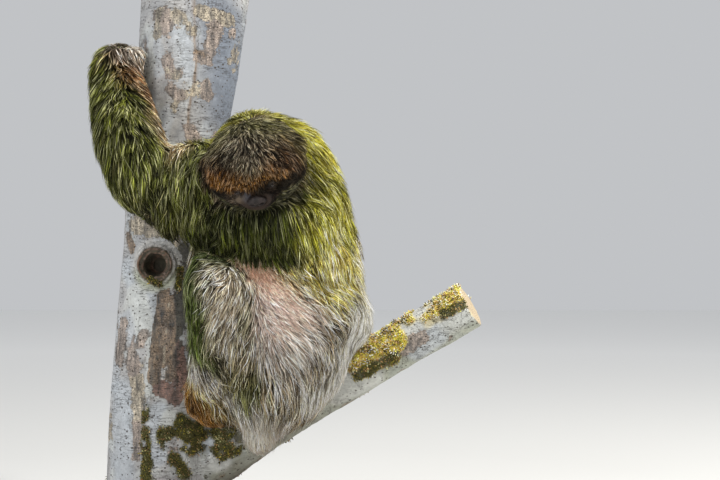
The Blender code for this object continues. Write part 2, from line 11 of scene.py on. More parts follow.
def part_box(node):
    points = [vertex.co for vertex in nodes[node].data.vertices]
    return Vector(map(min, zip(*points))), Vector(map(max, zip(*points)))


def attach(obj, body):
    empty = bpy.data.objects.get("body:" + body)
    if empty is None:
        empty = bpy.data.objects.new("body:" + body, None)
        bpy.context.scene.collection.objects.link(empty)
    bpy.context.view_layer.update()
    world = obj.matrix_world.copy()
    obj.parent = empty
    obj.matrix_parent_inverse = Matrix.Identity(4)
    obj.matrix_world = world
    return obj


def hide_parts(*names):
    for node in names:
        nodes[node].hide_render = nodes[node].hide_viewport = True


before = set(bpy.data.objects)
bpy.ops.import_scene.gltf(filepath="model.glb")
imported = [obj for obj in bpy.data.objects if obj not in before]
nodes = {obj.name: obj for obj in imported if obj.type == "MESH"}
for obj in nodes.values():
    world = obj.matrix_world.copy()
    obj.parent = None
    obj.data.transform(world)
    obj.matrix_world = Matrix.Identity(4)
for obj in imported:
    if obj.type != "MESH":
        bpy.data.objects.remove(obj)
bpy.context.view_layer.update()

scene = bpy.context.scene
draw = np.random.default_rng(41)


# helpers for meshes, for fields over a surface and for noise

def groupOf(name):  # which limb or part of the body a solid belongs to
    for start, group in (
        ("arm_right", "armRight"), ("hand_right", "armRight"), ("arm_left", "armLeft"), ("hand_left", "armLeft"),
        ("leg_right", "legRight"), ("foot_right", "legRight"), ("leg_left", "legLeft"), ("foot_left", "legLeft"),
        ("head", "head"), ("muzzle", "head"), ("nose", "head"), ("ear", "head"),
    ):
        if name.startswith(start):
            return group
    return "body"


def gathered(names, grow=0.0):  # solids merged, swollen a little and put in one mesh
    whole = bmesh.new()
    for name in names:
        part = bmesh.new()
        part.from_mesh(nodes[name].data)
        bmesh.ops.remove_doubles(part, verts=part.verts, dist=1e-5)
        part.normal_update()
        for vert in part.verts:
            vert.co += vert.normal * grow
        loose = bpy.data.meshes.new("loose")
        part.to_mesh(loose)
        part.free()
        whole.from_mesh(loose)
        bpy.data.meshes.remove(loose)
    return whole


def objectFrom(bm, name):
    mesh = bpy.data.meshes.new(name)
    bm.to_mesh(mesh)
    bm.free()
    ob = bpy.data.objects.new(name, mesh)
    scene.collection.objects.link(ob)
    return ob


def settled(ob):  # the object's modifiers made part of its mesh
    bpy.context.view_layer.update()
    graph = bpy.context.evaluated_depsgraph_get()
    mesh = bpy.data.meshes.new_from_object(ob.evaluated_get(graph))
    ob.modifiers.clear()
    old = ob.data
    ob.data = mesh
    bpy.data.meshes.remove(old)
    mesh.name = ob.name


def remeshed(ob, voxel):  # one closed surface of even squares
    change = ob.modifiers.new("remesh", "REMESH")
    change.mode, change.voxel_size, change.adaptivity = "VOXEL", voxel, 0
    settled(ob)


def evened(bm, verts, rounds=1, factor=0.5):
    for _ in range(rounds):
        bmesh.ops.smooth_vert(bm, verts=verts, factor=factor, use_axis_x=True, use_axis_y=True, use_axis_z=True)


def finished(bm, ob):  # smooth faces that point outwards, back on the object
    bmesh.ops.recalc_face_normals(bm, faces=bm.faces)
    for face in bm.faces:
        face.smooth = True
    bm.to_mesh(ob.data)
    bm.free()


def valuesOf(rows, what, wide, kind=float):  # one value of many vertices, edges or triangles, as rows
    flat = np.empty(len(rows) * wide, kind)
    rows.foreach_get(what, flat)
    return flat.reshape(-1, wide)


def placesOf(mesh):
    return valuesOf(mesh.vertices, "co", 3)


def normalsOf(mesh):
    return valuesOf(mesh.vertices, "normal", 3)


def edgesOf(mesh):
    return valuesOf(mesh.edges, "vertices", 2, np.int64)


def trianglesOf(mesh):  # the vertices and the loops of each triangle
    mesh.calc_loop_triangles()
    return [valuesOf(mesh.loop_triangles, what, 3, np.int64) for what in ("vertices", "loops")]


def areasOf(places, tris):
    a, b, c = (places[tris[:, k]] for k in range(3))
    return np.linalg.norm(np.cross(b - a, c - a), axis=1) / 2


def unit(v):
    return v / np.maximum(np.linalg.norm(v, axis=-1, keepdims=True), 1e-9)


def relaxed(values, edges, rounds, keep=0.5):  # a field evened out over the surface
    count = np.bincount(edges.ravel(), minlength=len(values)).astype(float)
    count = np.maximum(count, 1).reshape((-1,) + (1,) * (values.ndim - 1))
    for _ in range(rounds):
        total = np.zeros_like(values)
        np.add.at(total, edges[:, 0], values[edges[:, 1]])
        np.add.at(total, edges[:, 1], values[edges[:, 0]])
        values = values * keep + total / count * (1 - keep)
    return values


def smoothStep(low, high, x):
    t = np.clip((x - low) / (high - low), 0, 1)
    return t * t * (3 - 2 * t)


def setTint(mesh, colours, name="coatTint"):
    flat = np.ones((len(colours), 4), np.float32)
    flat[:, :3] = colours
    mesh.color_attributes.new(name, "FLOAT_COLOR", "POINT").data.foreach_set("color", flat.ravel())


def setValues(mesh, name, values):
    mesh.attributes.new(name, "FLOAT", "POINT").data.foreach_set("value", values.astype(np.float32))


def capsule(places, a, b):  # how far each place is from the line from a to b
    a, b = np.array(a, float), np.array(b, float)
    along = b - a
    size = along @ along
    t = np.clip((places - a) @ along / size, 0, 1) if size > 0 else np.zeros(len(places))
    return np.linalg.norm(places - (a + t[:, None] * along), axis=1)


def wander(places, scale, seed):  # slow noise, about -1 to 1
    shift = Vector((seed * 7.31, seed * 3.17, seed * 5.93))
    return np.array([noise.noise(Vector(p) * scale + shift) for p in places])


# the skin: the flesh solids as one, drawn in by the coat's depth, with a sculpted face

fleshNodes = sorted(n for n in nodes if not n.startswith(("perch", "stand_", "claw_", "eye_", "nose")))

skinPlan = {
    "voxel": 0.0036,  # metres
    "swell": 0.0012,  # closes the hair-thin gaps between the solids
    "steps": 6,  # in which the skin is drawn in
    "fineFace": ((0.0022, 0.026), (0.0013, 0.032)),  # edges longer than the first are cut, this far forward
    "coatDepth": {  # how far the skin lies under the tips of the coat, in metres
        "head": 0.0042, "muzzle": 0.0006, "ear": 0.0015, "neck": 0.012, "chest": 0.0135, "hips": 0.0135, "tail": 0.0085,
        "arm_right_fore": 0.0085, "arm_right_upper": 0.0105, "arm_left_fore": 0.0085, "arm_left_upper": 0.0105,
        "leg_right_shin": 0.0095, "leg_right_thigh": 0.011, "leg_left_shin": 0.0085, "leg_left_thigh": 0.011,
        "hand": 0.0028, "foot": 0.0028,
    },
}

fillers = (  # soft places where the coat closes over a crease: centre and radius
    ((0.124, -0.108, 0.338), 0.034), ((0.140, -0.082, 0.322), 0.030), ((0.108, -0.122, 0.335), 0.026),
    ((-0.020, -0.062, 0.190), 0.028), ((0.006, -0.066, 0.164), 0.026), ((-0.118, 0.006, 0.592), 0.021),
    ((-0.151, -0.006, 0.580), 0.020), ((-0.142, -0.010, 0.596), 0.016), ((-0.153, -0.010, 0.558), 0.020),
    ((-0.016, -0.136, 0.339), 0.020), ((-0.064, -0.088, 0.389), 0.020), ((0.044, -0.062, 0.4930), 0.031),
    ((-0.030, -0.058, 0.178), 0.019), ((-0.031, -0.056, 0.167), 0.018), ((-0.016, -0.056, 0.158), 0.019),
    ((-0.156, -0.006, 0.572), 0.020),
)

headPlan = {  # the head's own axes: x to its left, -y forward, z up
    "centre": (0.043, -0.138, 0.4545),
    "turns": ((-11, "Y"), (-7, "Z"), (50, "X")),
    "eye": (0.0190, -0.0480, 0.0115),  # the left one
    "eyeRadius": 0.0052,
    "gaze": (0.55, -0.80, 0.22),
    "lidOpening": (0.0046, 0.0023),  # half width and half height
    "socketReach": (0.0062, 0.0075),  # its flat part and the slope round it
    "nose": (0.0, -0.0585, 0.0005),
    "mouthHeight": -0.0085,
    "thinCoat": 0.62,  # how much thinner the coat is on the face
    "bareTip": (-0.006, -0.0605, 0.001),  # the middle of the muzzle's bare end
    "bareReach": (0.0125, 0.0165),  # where the coat begins round it, and where it is whole
    "lidReach": (0.0055, 0.0070),  # the same round an eye
}


def headFrame():
    turn = Matrix.Translation(headPlan["centre"])
    for degrees, axis in headPlan["turns"]:
        turn = turn @ Matrix.Rotation(math.radians(degrees), 4, axis)
    return turn


headTurn = headFrame()
headBack = headTurn.inverted()


def inHead(places):  # places in the head's own axes
    m = np.array(headBack)
    return places @ m[:3, :3].T + m[:3, 3]


def fleshTree():
    verts, faces, owners = [], [], []
    for name in fleshNodes:
        start = len(verts)
        verts += [v.co.copy() for v in nodes[name].data.vertices]
        for face in nodes[name].data.polygons:
            faces.append([start + i for i in face.vertices])
            owners.append(name)
    return BVHTree.FromPolygons(verts, faces), owners


solidTree, solidOwners = fleshTree()


def ownersOf(places):  # the solid that each place lies nearest to
    return [solidOwners[solidTree.find_nearest(Vector(p))[2]] for p in places]


def byOwner(owners, values, default):  # a value for each place, by the name of its solid or the start of it
    def find(name):
        if name in values:
            return values[name]
        for key in values:
            if name.startswith(key):
                return values[key]
        return default
    known = {name: find(name) for name in set(owners)}
    return np.array([known[name] for name in owners])


def onHead(owners):
    return np.array([groupOf(n) == "head" for n in owners])


def coatDepthAt(owners, local):  # thinner over the face and muzzle
    depth = byOwner(owners, skinPlan["coatDepth"], 0.008)
    face = smoothStep(0.024, 0.034, -local[:, 1])
    thin = 1 - headPlan["thinCoat"] * face * smoothStep(0.020, 0.006, local[:, 2])
    return np.where(onHead(owners), depth * thin, depth)


def eyeAt(side):  # an eye's centre and the way it looks
    x, y, z = headPlan["eye"]
    out = Vector(headPlan["gaze"])
    out.x *= side
    return Vector((side * x, y, z)), out.normalized()


def sculptFace(bm):  # lids, sockets, mouth and folds, in the head's own axes
    wide, high = headPlan["lidOpening"]
    socketFlat, socketSlope = headPlan["socketReach"]
    radius = headPlan["eyeRadius"]
    for side in (-1, 1):
        centre, out = eyeAt(side)
        across = Vector((0.72 * side, 0.36, 0.12))
        across = (across - out * across.dot(out)).normalized()
        up = out.cross(across) * side
        up = -up if up.z < 0 else up
        for v in bm.verts:
            p = headBack @ v.co
            d = p - centre
            if d.length > 0.017 or d.dot(out) < -0.002:
                continue
            a, b = d.dot(across), d.dot(up)
            flat = math.hypot(a, b)
            n = d.dot(out)
            ball = math.sqrt(max(radius ** 2 - flat ** 2, 0))
            inside = math.hypot(a / wide, b / (high * (1 - 0.35 * (a / wide) ** 2) if abs(a) < wide else high))
            lid = ball + 0.0009 + 0.0010 * math.exp(-((inside - 1.35) / 0.28) ** 2)
            if b > 0:  # the upper lid is heavier
                lid += 0.0008 * math.exp(-((inside - 1.7) / 0.5) ** 2)
            hollow = ball - 0.0022
            socket = 1 - min(max((flat - socketFlat) / socketSlope, 0), 1)
            socket = socket * socket * (3 - 2 * socket)
            goal = n * (1 - socket) + lid * socket
            if inside < 1:
                edge = min(1, (1 - inside) / 0.28)
                goal = goal * (1 - edge) + hollow * edge
            v.co += headTurn.to_3x3() @ (out * (goal - n))
    for v in bm.verts:
        p = headBack @ v.co
        if p.y > -0.030 or abs(p.x) > 0.034:
            continue
        # the mouth: a groove round the muzzle, between lips, that turns up a little at its corners
        line = p.z - headPlan["mouthHeight"] - 5.0 * p.x * p.x
        reach = min(max((0.0235 - abs(p.x)) / 0.004, 0), 1) * min(max((-p.y - 0.034) / 0.004, 0), 1)
        groove = -0.0014 * math.exp(-(line / 0.0011) ** 2)
        lips = 0.0005 * math.exp(-((line - 0.0030) / 0.0016) ** 2) + 0.0004 * math.exp(-((line + 0.0028) / 0.0015) ** 2)
        # soft folds from the nose towards the eyes
        fold = abs(p.x) - (0.0085 + 0.35 * max(p.z + 0.002, 0))
        crease = -0.0006 * math.exp(-(fold / 0.0011) ** 2) * min(max((p.z + 0.004) / 0.004, 0), 1)
        v.co += v.normal * ((groove + lips) * reach + crease)


def keepOuter(bm):  # only the largest closed surface
    pieces = []
    left = set(bm.verts)
    while left:
        seed = left.pop()
        found, edge = {seed}, [seed]
        while edge:
            for link in edge.pop().link_edges:
                for v in link.verts:
                    if v in left:
                        left.discard(v)
                        found.add(v)
                        edge.append(v)
        pieces.append(found)
    pieces.sort(key=len)
    for lost in pieces[:-1]:
        bmesh.ops.delete(bm, geom=list(lost), context="VERTS")


def buildSkin():
    whole = gathered(fleshNodes, skinPlan["swell"])
    for centre, radius in fillers:
        bmesh.ops.create_icosphere(whole, subdivisions=3, radius=radius, matrix=Matrix.Translation(centre))
    ob = objectFrom(whole, "skin")
    remeshed(ob, skinPlan["voxel"])
    bm = bmesh.new()
    bm.from_mesh(ob.data)
    keepOuter(bm)
    evened(bm, bm.verts, 3)
    bm.to_mesh(ob.data)
    owners = ownersOf(placesOf(ob.data))
    depth = coatDepthAt(owners, inHead(placesOf(ob.data)))
    depth = relaxed(depth + skinPlan["swell"], edgesOf(ob.data), 10)
    for step in range(skinPlan["steps"]):
        for v, d in zip(bm.verts, depth):
            v.co -= v.normal * d / skinPlan["steps"]
        bm.normal_update()
        if step % 2:
            evened(bm, bm.verts, 1, 0.35)
            bm.normal_update()
    for size, reach in skinPlan["fineFace"]:
        near = []
        for e in bm.edges:
            p = headBack @ ((e.verts[0].co + e.verts[1].co) / 2)
            if -p.y > reach and abs(p.x) < 0.060 and -0.034 < p.z < 0.042 and e.calc_length() > size:
                near.append(e)
        bmesh.ops.subdivide_edges(bm, edges=near, cuts=1, use_grid_fill=True, smooth=0)
    eyes = [eyeAt(side)[0] for side in (-1, 1)]
    near = [e for e in bm.edges if min(((headBack @ e.verts[0].co) - eye).length for eye in eyes) < 0.0105]
    bmesh.ops.subdivide_edges(bm, edges=near, cuts=1, use_grid_fill=True, smooth=0)
    bmesh.ops.triangulate(bm, faces=[f for f in bm.faces if len(f.verts) > 4])
    fine = []
    for v in bm.verts:
        p = headBack @ v.co
        if -p.y > 0.024 and abs(p.x) < 0.06 and abs(p.z) < 0.045:
            fine.append(v)
    evened(bm, fine, 2)
    bm.normal_update()
    sculptFace(bm)
    finished(bm, ob)
    return ob


skin = buildSkin()
print("skin:", len(skin.data.polygons), "faces")


# the markings that skin and coat share

tints = {  # colour of the lit hair, then its length, width and contrast against the common coat, which also sets how deep the painted shade is at the tufts' roots and on the skin under them
    # arms
    "arm": ((0.091, 0.101, 0.013), 1, 0.9, 1.5), "armDark": ((0.058, 0.060, 0.011), 1, 0.9, 1.4),
    "armBrown": ((0.222, 0.105, 0.039), 0.9, 0.9, 1.5), "armTan": ((0.540, 0.347, 0.176), 1, 1, 1.2),
    "armYellow": ((0.113, 0.125, 0.026), 1, 1, 1.4), "wrist": ((0.517, 0.422, 0.347), 0.8, 0.8, 1.08),
    "hand": ((0.367, 0.281, 0.156), 1, 1, 1.08),
    # hood and flank
    "throat": ((0.049, 0.059, 0.006), 1, 0.92, 1.38), "hood": ((0.251, 0.236, 0.009), 1, 0.75, 1.45),
    # hoodEdge: the hood's paler edge, lightened further with painted light on its upper right, where light falls
    "hoodEdge": ((0.635, 0.545, 0.014), 1, 0.8, 1.45), "shoulder": ((0.466, 0.437, 0.031), 1, 0.85, 1.4),
    "flank": ((1.000, 0.788, 0.145), 1, 0.8, 1.25), "flankPale": ((1.000, 0.972, 0.808), 1, 0.85, 1),
    # belly, rump and back
    "belly": ((0.893, 0.550, 0.410), 0.36, 0.55, 0.2), "bellyPale": ((0.902, 0.736, 0.725), 0.55, 0.62, 0.45),
    "rump": ((0.428, 0.316, 0.173), 1, 0.85, 1.75), "rumpLow": ((0.418, 0.365, 0.243), 1, 0.9, 1.6),
    "rumpPale": ((0.929, 0.808, 0.715), 1, 0.8, 1.05), "tail": ((1.000, 0.980, 0.920), 0.62, 0.8, 0.25),
    "hip": ((0.929, 0.836, 0.719), 0.9, 0.85, 0.94), "back": ((0.432, 0.389, 0.221), 1, 1.1, 1.08),
    "backDark": ((0.227, 0.194, 0.113), 1, 1.1, 1.08),
    # legs and feet
    "thighPale": ((0.664, 0.552, 0.404), 0.9, 0.8, 1.15), "thighGrey": ((0.345, 0.296, 0.214), 0.95, 0.85, 1.35),
    "shin": ((0.063, 0.097, 0.019), 1, 0.9, 1.44), "shinGreen": ((0.088, 0.123, 0.020), 1, 1, 1.32),
    "sweep": ((0.602, 0.532, 0.459), 1, 0.85, 1.5), "foot": ((0.259, 0.114, 0.012), 1.3, 0.8, 1.25),
    "straw": ((0.558, 0.403, 0.148), 1, 0.85, 1.3), "cream": ((0.780, 0.643, 0.408), 1, 0.85, 0.94),
    # head
    "crown": ((0.067, 0.046, 0.023), 1, 1, 1.75), "crownGrey": ((0.122, 0.097, 0.065), 1, 1, 1.6),
    "crownGreen": ((0.151, 0.146, 0.052), 1, 1, 1.2), "headRim": ((0.130, 0.118, 0.030), 1.5, 1, 1.3),
    "brow": ((0.200, 0.075, 0.002), 1, 0.9, 1.44), "browShort": ((0.153, 0.065, 0.006), 0.42, 0.9, 1.44),
    "rust": ((0.067, 0.031, 0.011), 1, 1, 1.8), "stripe": ((0.016, 0.011, 0.006), 1, 1, 0.8),
    "cheek": ((0.065, 0.063, 0.026), 1, 1, 1.2), "chin": ((0.071, 0.073, 0.026), 1, 1, 1.2),
    "tan": ((0.120, 0.088, 0.060), 1, 1, 0.8), "muzzle": ((0.025, 0.014, 0.009), 1, 1, 1),
    # painted highlight: a bluish sheen on the muzzle's bridge
    "bridgeHighlight": ((0.065, 0.065, 0.077), 1, 1, 1),
}

# tint, from, to, radius and softness, in metres, and in the head's own axes for the head;
# the first of each group covers it all
marks = {
    "armRight": [
        ("arm", (0, 0, 0), (0, 0, 0), 9, 0.1),
        ("armYellow", (-0.075, -0.100, 0.458), (-0.035, -0.110, 0.458), 0.030, 0.7),
        ("armYellow", (-0.148, -0.010, 0.560), (-0.140, -0.020, 0.520), 0.016, 0.9),
        ("armDark", (-0.120, -0.110, 0.402), (-0.055, -0.110, 0.392), 0.022, 0.8),
        ("armBrown", (-0.118, -0.010, 0.592), (-0.060, -0.055, 0.498), 0.024, 0.4),
        ("armTan", (-0.092, -0.055, 0.508), (-0.056, -0.085, 0.480), 0.018, 0.7),
        ("wrist", (-0.126, -0.008, 0.604), (-0.118, 0.012, 0.598), 0.0145, 0.6),
        ("hand", (-0.110, 0.090, 0.600), (-0.150, 0.070, 0.600), 0.034, 0.5),
    ],
    "armLeft": [
        ("throat", (0, 0, 0), (0, 0, 0), 9, 0.1),
        ("hood", (0.145, -0.045, 0.445), (0.152, -0.045, 0.365), 0.046, 0.7),
        ("shoulder", (0.120, -0.145, 0.392), (0.130, -0.140, 0.380), 0.025, 0.8),
        ("shoulder", (0.094, -0.155, 0.346), (0.114, -0.150, 0.350), 0.010, 0.9),
        ("shoulder", (0.125, -0.120, 0.430), (0.127, -0.138, 0.385), 0.033, 0.7),
        # painted light on the hood's upper right edge
        ("hoodEdge", (0.142, -0.090, 0.450), (0.152, -0.080, 0.390), 0.016, 0.8),
        ("flank", (0.106, -0.150, 0.344), (0.130, -0.135, 0.356), 0.020, 0.7),
        ("flank", (0.142, -0.120, 0.400), (0.126, -0.135, 0.350), 0.020, 0.8),
        ("hand", (-0.050, -0.050, 0.410), (-0.060, -0.040, 0.420), 0.036, 0.5),
    ],
    "body": [
        ("rump", (0, 0, 0), (0, 0, 0), 9, 0.1),
        ("rumpLow", (0.000, -0.110, 0.170), (0.100, -0.110, 0.180), 0.026, 0.8),
        ("back", (0.055, 0.060, 0.420), (0.055, 0.050, 0.180), 0.085, 0.4),
        ("backDark", (0.055, 0.060, 0.470), (0.055, 0.060, 0.240), 0.020, 0.9),
        ("flankPale", (0.158, -0.060, 0.330), (0.160, -0.050, 0.260), 0.040, 0.6),
        ("flank", (0.124, -0.120, 0.400), (0.136, -0.115, 0.340), 0.038, 0.7),
        ("flankPale", (0.184, -0.075, 0.345), (0.174, -0.070, 0.255), 0.034, 0.7),
        ("shoulder", (0.120, -0.090, 0.450), (0.132, -0.100, 0.400), 0.036, 0.5),
        ("throat", (-0.020, -0.120, 0.400), (0.075, -0.120, 0.400), 0.048, 0.3),
        ("rumpPale", (0.070, -0.140, 0.250), (0.105, -0.135, 0.245), 0.034, 0.9),
        ("belly", (0.032, -0.150, 0.335), (0.066, -0.150, 0.290), 0.032, 0.5),
        ("bellyPale", (0.044, -0.150, 0.290), (0.052, -0.150, 0.225), 0.020, 0.9),
        ("thighPale", (0.026, -0.135, 0.305), (0.032, -0.135, 0.235), 0.015, 0.8),
        ("sweep", (0.008, -0.090, 0.196), (0.036, -0.085, 0.148), 0.0190, 0.7),
        ("bellyPale", (0.050, -0.150, 0.290), (0.088, -0.150, 0.280), 0.024, 0.9),
        ("flank", (0.088, -0.150, 0.345), (0.120, -0.140, 0.322), 0.021, 0.9),
        ("hood", (-0.030, -0.060, 0.480), (0.105, -0.060, 0.490), 0.056, 0.35),
        # painted light on the hood's upper right edge
        ("hoodEdge", (0.085, -0.065, 0.512), (0.150, -0.065, 0.400), 0.021, 0.8),
        ("hip", (0.156, -0.050, 0.265), (0.150, -0.030, 0.205), 0.028, 0.8),
        ("foot", (-0.050, -0.060, 0.200), (-0.010, -0.060, 0.145), 0.026, 0.6),
        ("straw", (-0.010, -0.080, 0.170), (0.020, -0.080, 0.145), 0.015, 0.7),
        ("cream", (0.004, -0.080, 0.180), (0.040, -0.080, 0.140), 0.015, 0.7),
        ("tail", (0.046, -0.070, 0.160), (0.043, -0.072, 0.110), 0.032, 0.7),
    ],
    "legRight": [
        ("shin", (0, 0, 0), (0, 0, 0), 9, 0.1),
        ("thighPale", (0.002, -0.160, 0.345), (0.034, -0.155, 0.262), 0.0175, 0.8),
        ("bellyPale", (0.000, -0.155, 0.347), (0.019, -0.155, 0.331), 0.0050, 0.6),
        ("bellyPale", (0.019, -0.155, 0.331), (0.033, -0.155, 0.305), 0.0055, 0.6),
        ("bellyPale", (0.033, -0.155, 0.305), (0.042, -0.155, 0.280), 0.0060, 0.6),
        ("thighGrey", (-0.004, -0.145, 0.250), (0.010, -0.130, 0.205), 0.019, 0.8),
        ("thighPale", (0.018, -0.145, 0.312), (0.027, -0.140, 0.232), 0.0205, 0.7),
        ("shinGreen", (-0.046, -0.120, 0.350), (-0.044, -0.105, 0.240), 0.036, 0.6),
        ("shinGreen", (-0.018, -0.150, 0.300), (-0.022, -0.145, 0.290), 0.012, 0.9),
        ("rump", (0.030, -0.140, 0.230), (0.010, -0.120, 0.185), 0.026, 0.8),
        ("sweep", (-0.040, -0.110, 0.256), (-0.028, -0.110, 0.230), 0.0080, 0.9),
        ("sweep", (-0.028, -0.105, 0.230), (0.036, -0.090, 0.150), 0.0155, 0.8),
        ("foot", (-0.060, -0.060, 0.222), (-0.024, -0.070, 0.150), 0.030, 0.4),
        ("straw", (-0.036, -0.090, 0.214), (0.006, -0.090, 0.150), 0.0095, 0.9),
        ("cream", (-0.028, -0.100, 0.214), (0.022, -0.100, 0.150), 0.0060, 0.9),
    ],
    "legLeft": [
        ("flankPale", (0, 0, 0), (0, 0, 0), 9, 0.1),
        ("rump", (0.110, -0.140, 0.290), (0.120, -0.130, 0.230), 0.040, 0.6),
        ("hip", (0.150, -0.020, 0.240), (0.160, 0.010, 0.240), 0.030, 0.7),
        ("foot", (0.150, 0.040, 0.235), (0.150, 0.030, 0.220), 0.030, 0.5),
    ],
    "head": [
        ("crown", (0, 0, 0), (0, 0, 0), 9, 0.1),
        ("crownGreen", (-0.040, 0.020, 0.045), (0.050, 0.026, 0.045), 0.018, 0.8),
        ("crownGrey", (-0.006, -0.004, 0.048), (0.004, -0.024, 0.045), 0.020, 0.9),
        ("chin", (0, -0.010, -0.040), (0, -0.050, -0.022), 0.030, 0.6),
        ("cheek", (-0.046, -0.036, 0.000), (-0.026, -0.050, -0.006), 0.018, 0.6),
        ("cheek", (0.046, -0.036, 0.000), (0.026, -0.050, -0.006), 0.018, 0.6),
        ("rust", (0.034, -0.036, 0.028), (0.056, -0.016, 0.016), 0.022, 0.7),
        ("rust", (-0.034, -0.030, 0.030), (-0.056, -0.010, 0.016), 0.014, 0.8),
        ("headRim", (0.058, 0.004, 0.040), (0.068, 0.004, -0.006), 0.015, 0.9),
        ("brow", (-0.042, -0.034, 0.021), (-0.016, -0.050, 0.026), 0.0130, 1.0),
        ("brow", (-0.030, -0.050, 0.026), (-0.024, -0.052, 0.025), 0.0120, 1.0),
        ("browShort", (-0.012, -0.052, 0.024), (0.034, -0.046, 0.020), 0.0105, 0.8),
        ("stripe", (-0.012, -0.053, 0.009), (-0.044, -0.040, 0.006), 0.0075, 0.35),
        ("stripe", (-0.044, -0.040, 0.006), (-0.058, -0.018, 0.001), 0.0085, 0.5),
        ("stripe", (0.006, -0.055, 0.012), (0.044, -0.040, 0.007), 0.0095, 0.35),
        ("stripe", (0.044, -0.040, 0.007), (0.058, -0.016, 0.002), 0.0110, 0.5),
        ("muzzle", (-0.020, -0.056, 0.002), (0.010, -0.060, 0.002), 0.0150, 0.25),
        # painted highlight on the muzzle's bridge
        ("bridgeHighlight", (-0.015, -0.058, 0.010), (-0.003, -0.062, 0.007), 0.0062, 0.9),
        ("tan", (-0.020, -0.0540, 0.007), (-0.024, -0.052, 0.001), 0.0055, 1.0),
    ],
}


def tintsAt(places, owners, local):  # colour, length, width and contrast at each place
    table = {name: np.array([*colour, *rest]) for name, (colour, *rest) in tints.items()}
    colours = np.zeros((len(places), 6))
    groups = np.array([groupOf(n) for n in owners])
    ragged = 1 + 0.16 * wander(places, 55, 1) + 0.10 * wander(places, 150, 2)  # for uneven edges
    for group, rows in marks.items():
        here = groups == group
        if not here.any():
            continue
        where = local[here] if group == "head" else places[here]
        blend = np.zeros((here.sum(), 6))
        for tint, a, b, radius, soft in rows:
            far = capsule(where, a, b) / radius * ragged[here]
            w = (1 - smoothStep(1 - soft, 1 + soft, far))[:, None]
            blend = blend * (1 - w) + table[tint] * w
        colours[here] = blend
    return colours


# how the coat lies

